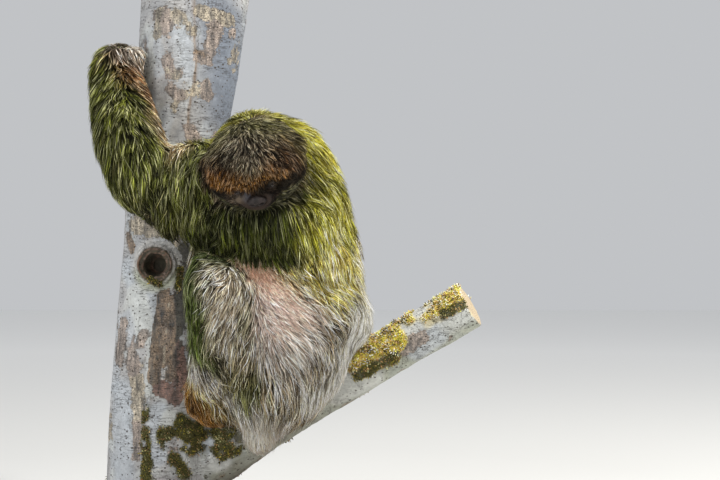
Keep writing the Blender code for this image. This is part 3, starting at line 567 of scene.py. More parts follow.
coatLie = {  # place, then the way the hair runs there, then its length in millimetres
    "arm_left_fore": [
        (.128, -.14, .378, .37, .05, -.93, 40), (.083, -.153, .395, .49, -.45, -.75, 38),
        (.105, -.149, .383, .47, -.08, -.88, 40), (-.004, -.136, .395, -.06, -.23, -.97, 30),
        (.02, -.151, .387, -.03, -.2, -.98, 32), (.043, -.153, .387, .02, -.21, -.98, 32),
        (.066, -.152, .398, .19, -.62, -.76, 32), (.014, -.146, .366, .12, .61, -.78, 24),
        (.037, -.149, .364, .18, .6, -.78, 22), (.06, -.155, .371, .22, .17, -.96, 24),
        (-.022, -.125, .378, .16, .15, -.98, 24), (.083, -.153, .366, .4, .3, -.87, 30),
        (.105, -.141, .355, .52, .59, -.61, 38), (.066, -.15, .358, .34, .52, -.78, 18),
        (.007, -.132, .357, .64, .59, -.48, 18),
    ],
    "arm_left_upper": [
        (.139, -.092, .431, .67, -.13, -.73, 38), (.118, -.119, .413, .61, -.27, -.75, 38),
    ],
    "arm_right_fore": [
        (-.151, 0, .601, -.78, -.02, -.62, 20), (-.165, 0, .588, -.37, -.05, -.93, 26),
        (-.163, -.021, .564, -.32, -.12, -.94, 30), (-.165, -.038, .535, -.22, -.17, -.96, 33),
        (-.154, -.076, .497, -.14, -.17, -.98, 36), (-.144, -.092, .46, .2, .02, -.98, 38),
        (-.125, -.116, .424, .44, .11, -.89, 38), (-.139, -.042, .565, -.11, -.75, -.65, 30),
        (-.127, -.015, .587, .58, -.49, -.65, 20), (-.118, .011, .595, .61, -.02, -.79, 18),
        (-.104, -.023, .564, .61, -.05, -.79, 22), (-.088, -.045, .535, .59, -.04, -.81, 22),
        (-.078, -.077, .507, .58, -.06, -.82, 24), (-.069, -.09, .487, .55, -.04, -.84, 24),
        (-.12, -.09, .519, .05, -.67, -.74, 34), (-.109, -.12, .482, .07, -.57, -.82, 36),
        (-.092, -.099, .504, .45, -.45, -.77, 30), (-.08, -.123, .47, .29, -.51, -.81, 34),
        (-.113, -.133, .435, .15, .06, -.99, 38), (-.089, -.136, .424, .11, .32, -.94, 40),
        (-.099, -.12, .404, .08, .81, -.59, 38),
    ],
    "arm_right_upper": [
        (-.057, -.12, .464, -.27, -.64, -.72, 32), (-.04, -.124, .461, -.29, -.61, -.73, 28),
        (-.061, -.132, .424, 0, .24, -.97, 40), (-.038, -.131, .424, 0, .22, -.97, 38),
        (-.033, -.131, .444, -.1, -.24, -.97, 34), (-.023, -.114, .473, -.02, -.77, -.64, 26),
        (-.016, -.127, .412, -.07, .26, -.96, 32),
    ],
    "chest": [
        (.002, -.07, .509, -.71, .14, -.69, 26), (-.009, -.072, .492, -.47, .09, -.88, 26),
        (.084, -.06, .512, .96, -.08, -.28, 30), (.1, -.075, .499, .83, -.09, -.56, 32),
        (.115, -.078, .482, .56, -.04, -.83, 34), (.127, -.079, .461, .36, -.01, -.93, 36),
        (.15, -.078, .396, .26, -.06, -.96, 40), (.158, -.08, .355, .19, -.05, -.98, 40),
        (.166, -.056, .307, -.08, .02, -1, 40), (.106, -.115, .436, .54, -.08, -.84, 36),
        (.093, -.129, .412, .38, -.07, -.92, 36), (.127, -.124, .343, .22, .21, -.95, 40),
        (.145, -.102, .366, .21, -.01, -.98, 40), (.025, -.141, .355, -.06, -.11, -.99, 16),
        (.046, -.145, .355, .08, -.15, -.99, 16), (.037, -.145, .315, .59, -.09, -.8, 14),
        (.051, -.147, .327, .69, -.1, -.71, 16), (.066, -.148, .332, .69, .11, -.71, 20),
        (.082, -.145, .327, .79, .12, -.6, 32), (.094, -.144, .31, .85, .13, -.51, 38),
        (.077, -.146, .304, .86, .14, -.49, 32), (.06, -.148, .298, .8, -.08, -.59, 20),
        (.054, -.146, .281, .88, -.1, -.46, 22), (.077, -.145, .281, .94, .18, -.29, 36),
        (.099, -.14, .287, .82, .46, -.35, 40), (.116, -.132, .298, .75, .43, -.5, 40),
        (-.018, -.112, .355, -.38, .22, -.9, 20), (-.036, -.084, .35, -.22, .17, -.96, 24),
        (.03, -.143, .292, -.48, .16, -.86, 28),
    ],
    "foot_right": [
        (-.031, -.066, .158, .55, .26, -.8, 22), (-.035, -.062, .176, .03, -.3, -.95, 18),
        (-.024, -.07, .162, .4, -.11, -.91, 22),
    ],
    "hand_left": [
        (-.092, -.035, .388, .19, .12, -.97, 38), (-.068, -.022, .387, -.44, .15, -.89, 36),
    ],
    "head": [
        (.006, -.172, .468, -.51, .06, -.86, 14), (-.011, -.156, .457, -.19, .11, -.98, 13),
        (.022, -.171, .483, -.48, -.5, -.72, 14), (.017, -.181, .464, -.44, -.28, -.85, 14),
        (.035, -.187, .466, .02, -.49, -.87, 14), (.035, -.192, .444, -.05, -.14, -.99, 14),
        (.018, -.187, .438, -.12, .05, -.99, 13), (0, -.174, .439, .1, .16, -.98, 12),
        (.049, -.188, .466, .55, -.45, -.71, 14), (.057, -.193, .449, .47, -.18, -.86, 14),
        (.046, -.191, .433, .1, .14, -.99, 12), (.068, -.185, .466, .84, -.04, -.54, 14),
        (.079, -.184, .455, .56, .35, -.75, 14), (.084, -.17, .476, .76, .36, -.55, 20),
        (.095, -.167, .462, .35, .36, -.86, 20), (.052, -.169, .492, .81, -.47, -.35, 14),
        (.072, -.165, .49, .91, -.1, -.39, 14), (.036, -.169, .491, .36, -.7, -.61, 14),
        (.095, -.168, .447, .21, .5, -.84, 18), (.082, -.182, .442, .1, .37, -.93, 12),
        (.062, -.19, .439, .34, .26, -.9, 12), (.042, -.18, .48, .37, -.49, -.79, 14),
    ],
    "hips": [
        (.105, -.133, .258, .73, .5, -.47, 42), (.082, -.141, .258, .79, .27, -.56, 40),
        (.065, -.144, .258, .58, .29, -.76, 34), (.071, -.135, .235, .58, .5, -.64, 40),
        (.093, -.127, .229, .51, .67, -.54, 42), (.11, -.111, .213, .16, .54, -.82, 38),
        (.048, -.137, .241, .24, .55, -.8, 36), (.052, -.118, .211, .25, .43, -.87, 42),
        (.075, -.115, .204, .32, .46, -.83, 44), (.098, -.104, .194, -.15, .38, -.91, 36),
        (.058, -.11, .181, -.02, .32, -.95, 44), (.034, -.106, .18, .1, .22, -.97, 44),
        (.078, -.102, .171, -.31, .31, -.9, 40), (.045, -.094, .146, .12, .5, -.86, 36),
        (.059, -.097, .15, -.35, .53, -.77, 34), (.033, -.09, .146, .46, .29, -.84, 36),
        (.037, -.142, .273, -.18, .12, -.98, 34), (.025, -.137, .261, -.14, .35, -.93, 38),
        (.025, -.132, .246, .05, .28, -.96, 40), (.034, -.131, .238, .15, .6, -.79, 40),
        (.006, -.08, .168, .48, -.13, -.87, 36), (.016, -.097, .185, .34, .06, -.94, 40),
        (.021, -.09, .158, .63, .04, -.77, 36), (.022, -.098, .174, .47, .04, -.88, 40),
    ],
    "leg_left_shin": [
        (.167, -.095, .273, -.26, .07, -.96, 40), (.139, -.114, .309, .69, -.32, -.65, 40),
        (.156, -.098, .308, .71, -.2, -.68, 40), (.16, -.105, .262, -.63, .3, -.72, 38),
        (.128, -.126, .274, .78, -.19, -.6, 40),
    ],
    "leg_left_thigh": [
        (.133, -.112, .245, .27, .43, -.87, 36), (.144, -.097, .238, -.23, .26, -.94, 30),
    ],
    "leg_right_shin": [
        (.026, -.146, .33, .65, -.09, -.76, 14), (-.004, -.147, .346, -.89, -.39, -.23, 16),
        (-.013, -.157, .337, -.89, -.32, -.32, 24), (.006, -.159, .335, -.7, -.41, -.59, 18),
        (-.002, -.164, .328, -.75, -.4, -.53, 26), (.016, -.162, .32, -.4, -.36, -.84, 24),
        (.007, -.165, .315, -.73, -.12, -.67, 28), (.024, -.153, .308, -.49, -.1, -.86, 24),
        (.016, -.16, .301, -.54, -.17, -.83, 30), (.01, -.158, .293, -.74, .11, -.66, 32),
        (-.006, -.168, .316, -.56, .23, -.8, 32), (-.009, -.16, .293, -.44, .5, -.75, 34),
        (-.024, -.158, .327, -.48, -.25, -.84, 34), (-.024, -.161, .304, .17, .3, -.94, 36),
        (-.035, -.133, .275, .25, .22, -.94, 38), (-.014, -.15, .276, -.26, .49, -.83, 38),
        (.005, -.148, .27, -.54, .24, -.81, 38), (.008, -.135, .246, -.31, .35, -.88, 40),
        (-.035, -.115, .239, .08, -.06, -.99, 38), (-.021, -.13, .24, .51, .27, -.82, 40),
        (-.004, -.128, .229, .2, .57, -.79, 42), (.013, -.108, .215, -.38, .31, -.87, 42),
        (-.026, -.113, .21, .43, -.08, -.9, 36), (-.015, -.107, .192, .67, .18, -.72, 34),
        (-.004, -.096, .179, .63, .54, -.56, 36), (-.031, -.144, .335, -.57, -.24, -.79, 34),
        (-.035, -.151, .315, -.05, .05, -1, 34), (-.017, -.122, .222, .55, .25, -.8, 40),
        (-.009, -.115, .207, .51, .57, -.65, 38), (.004, -.095, .189, .1, .73, -.68, 38),
        (-.035, -.09, .184, .49, .25, -.84, 20), (-.037, -.094, .197, .25, .14, -.96, 14),
    ],
    "leg_right_thigh": [
        (.021, -.145, .282, -.66, .21, -.73, 34),
    ],
    "neck": [
        (.043, -.099, .518, .86, .34, .38, 26), (.021, -.09, .515, -.96, -.03, -.29, 26),
        (.065, -.094, .516, .97, -.05, -.26, 28),
    ],
}

headLie = [  # the same in the head's own axes, for its left side, which the right one mirrors
    (0.000, 0.048, 0.010, 0, 1, -0.3, 18), (0.030, 0.036, 0.010, 0.4, 0.9, -0.2, 18),
    (0.060, -0.005, -0.005, 0.2, 0.6, -0.8, 16), (0.050, -0.030, -0.015, 0.5, 0.5, -0.7, 14),
    (0.000, 0.000, -0.048, 0, 1, 0, 20), (0.030, 0.000, -0.040, 0.3, 0.9, -0.1, 20),
    (0.000, -0.040, -0.034, 0, 0.9, -0.4, 12), (0.028, -0.040, -0.028, 0.5, 0.7, -0.4, 11),
    (0.034, -0.048, 0.003, 0.8, 0.5, -0.1, 5), (0.024, -0.052, 0.010, 0.9, 0.3, 0.1, 4),
    (0.022, -0.053, 0.000, 0.8, 0.5, -0.2, 3.5), (0.046, -0.040, 0.004, 0.7, 0.7, 0.1, 8),
    (0.000, -0.054, 0.024, 0, -0.8, -0.6, 8), (0.014, -0.052, 0.024, 0.15, -0.8, -0.6, 8),
    (0.032, -0.044, 0.020, 0.5, -0.6, -0.6, 8),
]


def restOfLie():  # the sides that the pose hides, where the hair simply falls, and the hands and feet
    rows = []
    for z in (0.18, 0.24, 0.31, 0.38, 0.44):
        for degrees in range(80, 300, 22):
            a = math.radians(degrees)
            out = Vector((math.sin(a), -math.cos(a), 0))
            inward = -0.5 if z < 0.2 else 0
            place = (0.060 + out.x * 0.10, -0.042 + out.y * 0.10, z)
            rows.append(("body", place, (out.x * inward, out.y * inward, -1), 42))
    rows += [("body", (0.060 + dx, 0.020, 0.500), (dx * 6, 0.8, -0.5), 40) for dx in (-0.04, 0, 0.04)]
    for dx in (-0.02, 0, 0.02):
        rows += [("body", (0.040 + dx, y, 0.535), (0.25 + dx * 8, 0.9, 0.1), 26) for y in (-0.085, -0.06, -0.03)]
    for side in ("left", "right"):
        for limb in ("hand", "foot"):
            name = limb + "_" + side
            low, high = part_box(name)
            clawLow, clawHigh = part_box("claw_" + name + "_2")
            way = (clawLow + clawHigh - low - high).normalized()
            group = groupOf(name)
            for corner in ((low + high) / 2, low, high):
                rows.append((group, tuple(corner), tuple(way), 10))
    for z in (0.44, 0.50, 0.56):
        rows.append(("armRight", (-0.10, -0.01, z), (0, -0.1, -1), 30))
        rows.append(("armRight", (-0.15, 0.00, z), (0, 0, -1), 32))
    rows += [("armLeft", (0.10, -0.08, 0.36), (0, 0, -1), 34), ("armLeft", (0.00, -0.07, 0.37), (0, 0, -1), 34)]
    rows += [("legLeft", (0.15, 0.00, 0.26), (0.1, 0.5, -0.8), 30),
             ("legLeft", (0.15, -0.05, 0.23), (0.1, 0.4, -0.9), 34),
             ("legLeft", (0.12, -0.06, 0.21), (-0.1, 0.2, -1), 36)]
    rows += [("legRight", (-0.03, -0.04, 0.30), (0, 0.2, -1), 34), ("legRight", (-0.02, -0.03, 0.22), (0, 0.2, -1), 28)]
    return rows


def lieRows():  # group, place, way and length
    rows = []
    for name, found in coatLie.items():
        rows += [(groupOf(name), r[:3], r[3:6], r[6]) for r in found]
    turn = headTurn.to_3x3()
    for x, y, z, outward, dy, dz, long in headLie:
        for side in (1, -1) if x else (1,):
            at, way = headTurn @ Vector((side * x, y, z)), turn @ Vector((side * outward, dy, dz))
            rows.append(("head", tuple(at), tuple(way), long))
    return rows + restOfLie()


def layCoat(mesh, owners):  # the way the hair runs and its length at each vertex of the skin
    places, normals, edges = placesOf(mesh), normalsOf(mesh), edgesOf(mesh)
    rows = lieRows()
    at = np.array([r[1] for r in rows])
    way = unit(np.array([r[2] for r in rows], float))
    long = np.array([r[3] for r in rows]) * 0.001
    facing = np.array([list(solidTree.find_nearest(Vector(p))[1]) for p in at])
    groups = np.array([groupOf(n) for n in owners])
    rowGroups = np.array([r[0] for r in rows])
    lie, length = np.zeros((len(places), 3)), np.zeros(len(places))
    for start in range(0, len(places), 8000):
        end = start + 8000
        gap = ((places[start:end, None, :] - at[None]) ** 2).sum(2)
        w = 1 / (gap + 0.007 ** 2) ** 2
        w *= 0.06 + np.maximum(normals[start:end] @ facing.T, 0)
        w *= np.where(groups[start:end, None] == rowGroups[None], 1, 0.002)
        w /= w.sum(1, keepdims=True)
        lie[start:end] = w @ way
        length[start:end] = w @ long
    lie = unit(lie)
    lie = unit(lie - normals * (lie * normals).sum(1, keepdims=True))
    lie = relaxed(lie, edges, 5)
    lie = unit(lie - normals * (lie * normals).sum(1, keepdims=True))
    small = byOwner(owners, {"hand": 0.010, "foot": 0.011, "muzzle": 0.003, "ear": 0.008}, 1.0)
    length = np.minimum(length, small)
    return lie, relaxed(length, edges, 5)


owners = ownersOf(placesOf(skin.data))
local = inHead(placesOf(skin.data))
lie, length = layCoat(skin.data, owners)
style = tintsAt(placesOf(skin.data), owners, local)
skinTints, length = style[:, :3], length * style[:, 3]
print("coat lie and markings laid")


# the coat: solid tufts combed over the skin, which grow once the perch is there to keep clear of

coatPlan = {
    "tufts": 109000,  # in all; each region takes its share by area and density
    "most": (12300, 19000),  # in one region, of long tufts or of short ones
    "short": ("coat_crown", "coat_face", "coat_hands_feet", "coat_belly", "coat_neck"),  # two joints, not three
    "width": 0.00112,  # a long tuft at its widest, in metres
    "profile": {3: (0.75, 1.0, 0.72), 2: (0.85, 0.85)},  # share of it at each ring, from the root
    "dark": {3: (0.22, 0.60, 1.0, 1.25), 2: (0.30, 0.85, 1.2)},  # painted shade: share of the lit colour, from root to tip, darkest at the root where the coat shades itself, lighter at the tip
    "lengths": (0.70, 1.25),  # the shortest and the longest against the usual
    "heights": (0.45, 1.45),
    "thickness": (0.50, 1.40),
    "sway": 0.16,
    "clump": 0.50,  # how far neighbours draw together into locks
    "lockReach": 0.011,
    "lead": 6,  # one tuft in so many leads a lock
    "strays": 0.07,  # pale hairs that lie across the rest
    "pale": (0.20, 0.85),  # how many tufts are lighter, and by how much: partly paler hairs, partly painted highlights
    "dusk": (0.36, -1.15),  # the same for darker ones: partly darker hairs, partly painted shade among the hairs
    "shades": (0.24, 0.46, 0.6),  # how much tufts differ, then locks, then places
    "underShade": 0.16,  # painted shade: the share of the lit colour that the skin under the coat keeps
    "patch": 0.003,  # a tuft's size on the OFBake map
    "density": {  # tufts against those on the body
        "head": 3.0, "muzzle": 5.0, "ear": 2.5, "hand": 0.8, "foot": 1.2, "tail": 1.5, "arm_left_fore": 1.5,
        "leg_right": 1.35, "hips": 1.0, "chest": 1.0,
    },
    "unseen": 0.62,  # how many tufts the back has against the front
    "unseenWider": 0.25,
    "widths": {"head": 0.56, "muzzle": 0.38, "ear": 0.5, "hand": 0.9, "foot": 0.8},
    "hang": {  # how far tufts fall free of the body
        "arm_left_fore": 0.75, "arm_right_upper": 0.55, "arm_right_fore": 0.35, "arm_left_upper": 0.4, "tail": 0.2,
        "leg": 0.12, "hips": 0.10, "chest": 0.12, "neck": 0.12,
    },
}


def regionOf(name, back):  # the piece of the coat that a solid's hair belongs to
    group = groupOf(name)
    if group == "head":
        return "coat_crown" if back else "coat_face"
    if name.startswith(("hand", "foot")):
        return "coat_hands_feet"
    if group == "armRight":
        return "coat_forearm_right" if name.endswith("fore") else "coat_upper_arm_right"
    if group == "armLeft":
        return "coat_arm_left"
    if group == "legRight":
        return "coat_leg_right"
    if group == "legLeft":
        return "coat_leg_left"
    if name in ("hips", "tail"):
        return "coat_rump" if back else "coat_belly"
    if name == "chest":
        return "coat_back" if back else "coat_chest"
    return "coat_neck"


def bareness(local, owners):  # 1 where the skin is bare: the muzzle's end, the lids
    fromTip = np.linalg.norm((local - headPlan["bareTip"]) / (1.65, 1, 1), axis=1)
    eyes = [np.array(headPlan["eye"]) * (side, 1, 1) for side in (-1, 1)]
    fromEye = np.minimum(*[np.linalg.norm(local - eye, axis=1) for eye in eyes])
    covered = smoothStep(*headPlan["bareReach"], fromTip), smoothStep(*headPlan["lidReach"], fromEye)
    return np.maximum(1 - covered[0], 1 - covered[1]) * onHead(owners)


def unwrapped(ob):  # the skin's own unwrap, for the places of the tufts
    bpy.context.view_layer.objects.active = ob
    ob.select_set(True)
    bpy.ops.object.mode_set(mode="EDIT")
    bpy.ops.mesh.select_all(action="SELECT")
    bpy.ops.uv.smart_project(angle_limit=math.radians(70), island_margin=0.004)
    bpy.ops.object.mode_set(mode="OBJECT")
    ob.select_set(False)
    ob.data.uv_layers.active.name = "OFBake"
    return valuesOf(ob.data.uv_layers.active.data, "uv", 2)


def clearOf(tree, places, gap):  # places kept outside a surface
    for i, p in enumerate(places):
        near, normal, _, _ = tree.find_nearest(Vector(p), 0.03)
        if near is not None:
            high = (Vector(p) - near).dot(normal)
            if high < gap:
                places[i] = near + normal * gap


def combed(root, normal, way, length, tall, hang, steps, loose):  # the course of every tuft from root to tip
    course, ups = [root - normal * 0.0006], [normal]
    place, heading = root.copy(), way.copy()
    sway = unit(np.cross(normal, way))
    bend = draw.normal(0, coatPlan["sway"], len(root))[:, None] * loose[:, None]
    lift = (tall / length)[:, None]
    fall = np.array([0, 0, -1.0])
    for step in range(1, steps + 1):
        t = step / steps
        free = unit(heading + hang[:, None] * fall * 1.2 * t + sway * bend * (0.4 + t) + normal * lift * (1 - t))
        place = place + free * (length / steps)[:, None]
        high = tall * (0.25 + 0.75 * t)
        for i, p in enumerate(place):
            near, up, face, _ = skinTree.find_nearest(Vector(p))
            over = (Vector(p) - near).dot(up)
            goal = high[i]
            if over > goal:
                goal = over * hang[i] + goal * (1 - hang[i])
            place[i] = near + up * goal
            normal[i] = up
            heading[i] = heading[i] * 0.35 + faceLie[face] * 0.65
        heading = unit(heading)
        clearOf(perchTree, place, 0.0008)
        course.append(place.copy())
        ups.append(unit(normal.copy()))
    return course, ups


def growRegion(name, triangles, count):  # the tufts of one piece of the coat
    share = triShare[triangles]
    expected = share / share.sum() * count
    many = np.floor(expected + draw.random(len(expected))).astype(int)
    pick = np.repeat(np.arange(len(triangles)), many)
    u, v = draw.random(len(pick)), draw.random(len(pick))
    over = u + v > 1
    u[over], v[over] = 1 - u[over], 1 - v[over]
    weights = np.stack([1 - u - v, u, v], 1)
    corners = triVerts[triangles[pick]]

    def at(field):
        w = weights if field.ndim == 1 else weights[..., None]
        return (field[corners] * w).sum(1)

    root, normal, way = at(places), unit(at(normals)), unit(at(lie))
    uv = (bakeMap[triLoops[triangles[pick]]] * weights[..., None]).sum(1)
    keep = np.ones(len(root), bool)
    for i, p in enumerate(root):
        near, up, _, _ = perchTree.find_nearest(Vector(p), 0.02)
        if near is not None and (Vector(p) - near).dot(up) < 0.0012:
            keep[i] = False
    root, normal, way, uv, corners, weights = (part[keep] for part in (root, normal, way, uv, corners, weights))
    stray = draw.random(len(root)) < coatPlan["strays"]
    long = at(length) * draw.uniform(*coatPlan["lengths"], len(root)) * np.where(stray, 1.2, 1)
    long *= 1 + 0.30 * wander(root, 60, 21)
    tall = np.minimum(at(coatHeight) * draw.uniform(*coatPlan["heights"], len(root)), long * 0.42)
    wide = coatPlan["width"] * at(widths) * draw.uniform(*coatPlan["thickness"], len(root)) * np.where(stray, 0.8, 1)
    hang, tint, contrast = at(hanging), at(skinTints), at(style[:, 5])
    steps = 2 if name in coatPlan["short"] else 3
    course, ups = combed(root.copy(), normal.copy(), way, long, tall, hang, steps, np.where(stray, 2.1, 1))
    # neighbours draw together into locks
    lead = np.arange(0, len(root), coatPlan["lead"])
    tree = KDTree(len(lead))
    for i, k in enumerate(lead):
        tree.insert(Vector(root[k]), int(k))
    tree.balance()
    mate = np.array([tree.find(Vector(p))[1] for p in root])
    apart = np.linalg.norm(root - root[mate], axis=1)
    close = np.exp(-(apart / coatPlan["lockReach"]) ** 2) * coatPlan["clump"]
    close *= ((way * way[mate]).sum(1) > 0.6) * ~stray * contrast
    for s in range(1, steps + 1):
        pull = (close * (s / steps) ** 1.2)[:, None]
        course[s] = course[s] * (1 - pull) + course[s][mate] * pull
    kind = draw.random(len(root))
    (paleShare, paler), (duskShare, darker) = coatPlan["pale"], coatPlan["dusk"]
    pale, dusk = (kind < paleShare) | stray, kind > 1 - duskShare
    eachTuft, eachLock, eachPlace = coatPlan["shades"]
    shade = draw.normal(0, eachTuft, len(root)) + np.where(pale, paler, np.where(dusk, darker, 0.0))
    shade += draw.normal(0, eachLock, len(root))[mate] + eachPlace * wander(root, 45, 22)
    shade = np.exp(np.clip(shade, -2.2, 1.3) * contrast)[:, None]
    level = tint.mean(1)
    straw = level[:, None] * np.array([1.12, 1.03, 0.85])  # pale tufts lean to straw, less so in a deep colour; they are partly paler hairs and partly painted highlights
    deep = np.clip(level * 2.5, 0, 1) * np.clip(1 - tint[:, 2] / level, 0, 1)
    mild = np.where(pale, 0.65 * (1 - 0.55 * deep), 0.08)[:, None]
    hue = (tint * (1 - mild) + straw * mild) * np.where(dusk[:, None], np.array([1.0, 0.93, 0.82]), 1.0)
    return makeTufts(name, course, ups, wide, hue * shade, uv, contrast)


def makeTufts(name, course, ups, wide, tint, uv, contrast):  # closed three-sided tufts, with painted shade at the root
    count, rings = len(wide), len(course) - 1
    perTuft = rings * 3 + 1
    profile, dark = coatPlan["profile"][rings], coatPlan["dark"][rings]
    across = (0.5, -0.5, 0.0)
    verts = np.zeros((count, perTuft, 3))
    colours = np.zeros((count, perTuft, 3))
    maps = np.zeros((count, perTuft, 2))
    patch = coatPlan["patch"]
    pale = np.array([1.06, 1.03, 0.92])
    # each ring takes painted shade, deepest at the root
    for s in range(rings):
        ahead = course[min(s + 1, rings)] - course[max(s - 1, 0)]
        side = unit(np.cross(ahead, ups[s]))
        top = unit(np.cross(side, ahead))
        half = (wide * profile[s] / 2)[:, None]
        for k, place in enumerate((course[s] + side * half, course[s] - side * half, course[s] + top * half * 0.9)):
            verts[:, s * 3 + k] = place
            colours[:, s * 3 + k] = tint * (dark[s] ** contrast)[:, None]
            maps[:, s * 3 + k] = uv + np.array([across[k], s / rings - 0.5]) * patch
    verts[:, -1] = course[rings]
    colours[:, -1] = tint * (dark[rings] ** contrast)[:, None] * pale
    maps[:, -1] = uv + np.array([0, 0.5]) * patch
    quads, tris = [], [(0, 2, 1)]
    for s in range(rings - 1):
        k = s * 3
        quads += [(k, k + 3, k + 5, k + 2), (k + 2, k + 5, k + 4, k + 1), (k + 1, k + 4, k + 3, k)]
    k, tip = (rings - 1) * 3, perTuft - 1
    tris += [(k, tip, k + 2), (k + 2, tip, k + 1), (k + 1, tip, k)]
    base = (np.arange(count) * perTuft)[:, None]
    quadLoops = (base[:, None] + np.array(quads)[None]).reshape(-1)
    tipLoops = (base[:, None] + np.array(tris)[None]).reshape(-1)
    loops = np.concatenate([quadLoops, tipLoops])
    sizes = np.concatenate([np.full(len(quadLoops) // 4, 4), np.full(len(tipLoops) // 3, 3)])
    mesh = bpy.data.meshes.new(name)
    mesh.vertices.add(count * perTuft)
    mesh.vertices.foreach_set("co", verts.ravel())
    mesh.loops.add(len(loops))
    mesh.loops.foreach_set("vertex_index", loops.astype(np.int32))
    mesh.polygons.add(len(sizes))
    mesh.polygons.foreach_set("loop_start", np.concatenate([[0], np.cumsum(sizes)[:-1]]).astype(np.int32))
    mesh.polygons.foreach_set("loop_total", sizes.astype(np.int32))
    mesh.polygons.foreach_set("use_smooth", np.ones(len(sizes), bool))
    layer = mesh.uv_layers.new(name="OFBake")
    layer.data.foreach_set("uv", maps.reshape(-1, 2)[loops].astype(np.float32).ravel())
    setTint(mesh, np.clip(colours.reshape(-1, 3), 0, 1))
    mesh.update()
    mesh.validate()
    ob = bpy.data.objects.new(name, mesh)
    scene.collection.objects.link(ob)
    print(" ", name, count, "tufts", count * (1 + (rings - 1) * 6 + 3), "triangles")
    return ob


# the perch: the trunk and its side branch

perchPlan = {  # in metres
    "voxel": 0.0027,
    "trunkLine": ((-0.086, 0.065, 0.030), (-0.086, 0.065, 0.138), (-0.082, 0.065, 0.252), (-0.076, 0.065, 0.354),
                  (-0.070, 0.065, 0.493), (-0.058, 0.065, 0.582), (-0.045, 0.065, 0.710)),
    "branchLine": ((-0.095, 0.062, 0.055), (-0.020, 0.052, 0.097), (0.042, 0.042, 0.1346), (0.143, 0.030, 0.1934),
                   (0.224, 0.015, 0.2421), (0.298, 0.0, 0.2862)),
    "knot": (-0.0905, 0.007, 0.3356),
    "knotOut": (-0.139, -0.990, 0),
    "knotRings": (0.0046, 0.0012),  # how far apart, and how high
    "relief": (0.0010, 0.0005, 0.0003),  # broad, fine and tiny unevenness
    "crack": ((-0.0434, 0.690), (-0.0422, 0.612), (-0.0397, 0.588),
              (-0.0434, 0.557), (-0.0496, 0.526), (-0.0520, 0.440)),  # x and z
    "crackSize": (0.0016, 0.0018),  # width and depth
    "peeled": ((-0.079, 0, 0.300), (-0.079, 0, 0.190)),  # where the outer bark has come off
    "peelDepth": 0.0013,
    "mossTufts": 9000,
    "mossLength": (0.0018, 0.0050),
    "mossWidth": (0.0009, 0.0018),
}

barkTints = {
    "bark": (0.455, 0.445, 0.435), "pale": (0.600, 0.610, 0.580), "blue": (0.500, 0.530, 0.560),
    "tan": (0.420, 0.355, 0.260), "rose": (0.330, 0.262, 0.215), "brown": (0.240, 0.160, 0.095),
    "peel": (0.220, 0.110, 0.075), "dark": (0.070, 0.052, 0.035), "shade": (0.060, 0.055, 0.036),
    "dusk": (0.165, 0.190, 0.235), "green": (0.330, 0.360, 0.230), "mossDark": (0.085, 0.075, 0.018),
    "mossBright": (0.78, 0.60, 0.09), "rim": (0.560, 0.540, 0.510), "wood": (0.560, 0.450, 0.300),
}

mossTints = {  # the leafy granules, and how many are of each
    "branch": (((1.00, 0.90, 0.14), 0.36), ((1.00, 0.60, 0.26), 0.20),
               ((1.00, 1.00, 0.85), 0.20), ((0.10, 0.08, 0.02), 0.24)),
    "fork": (((0.24, 0.20, 0.03), 0.40), ((0.085, 0.080, 0.018), 0.26),
             ((0.42, 0.26, 0.11), 0.18), ((0.52, 0.50, 0.24), 0.16)),
}

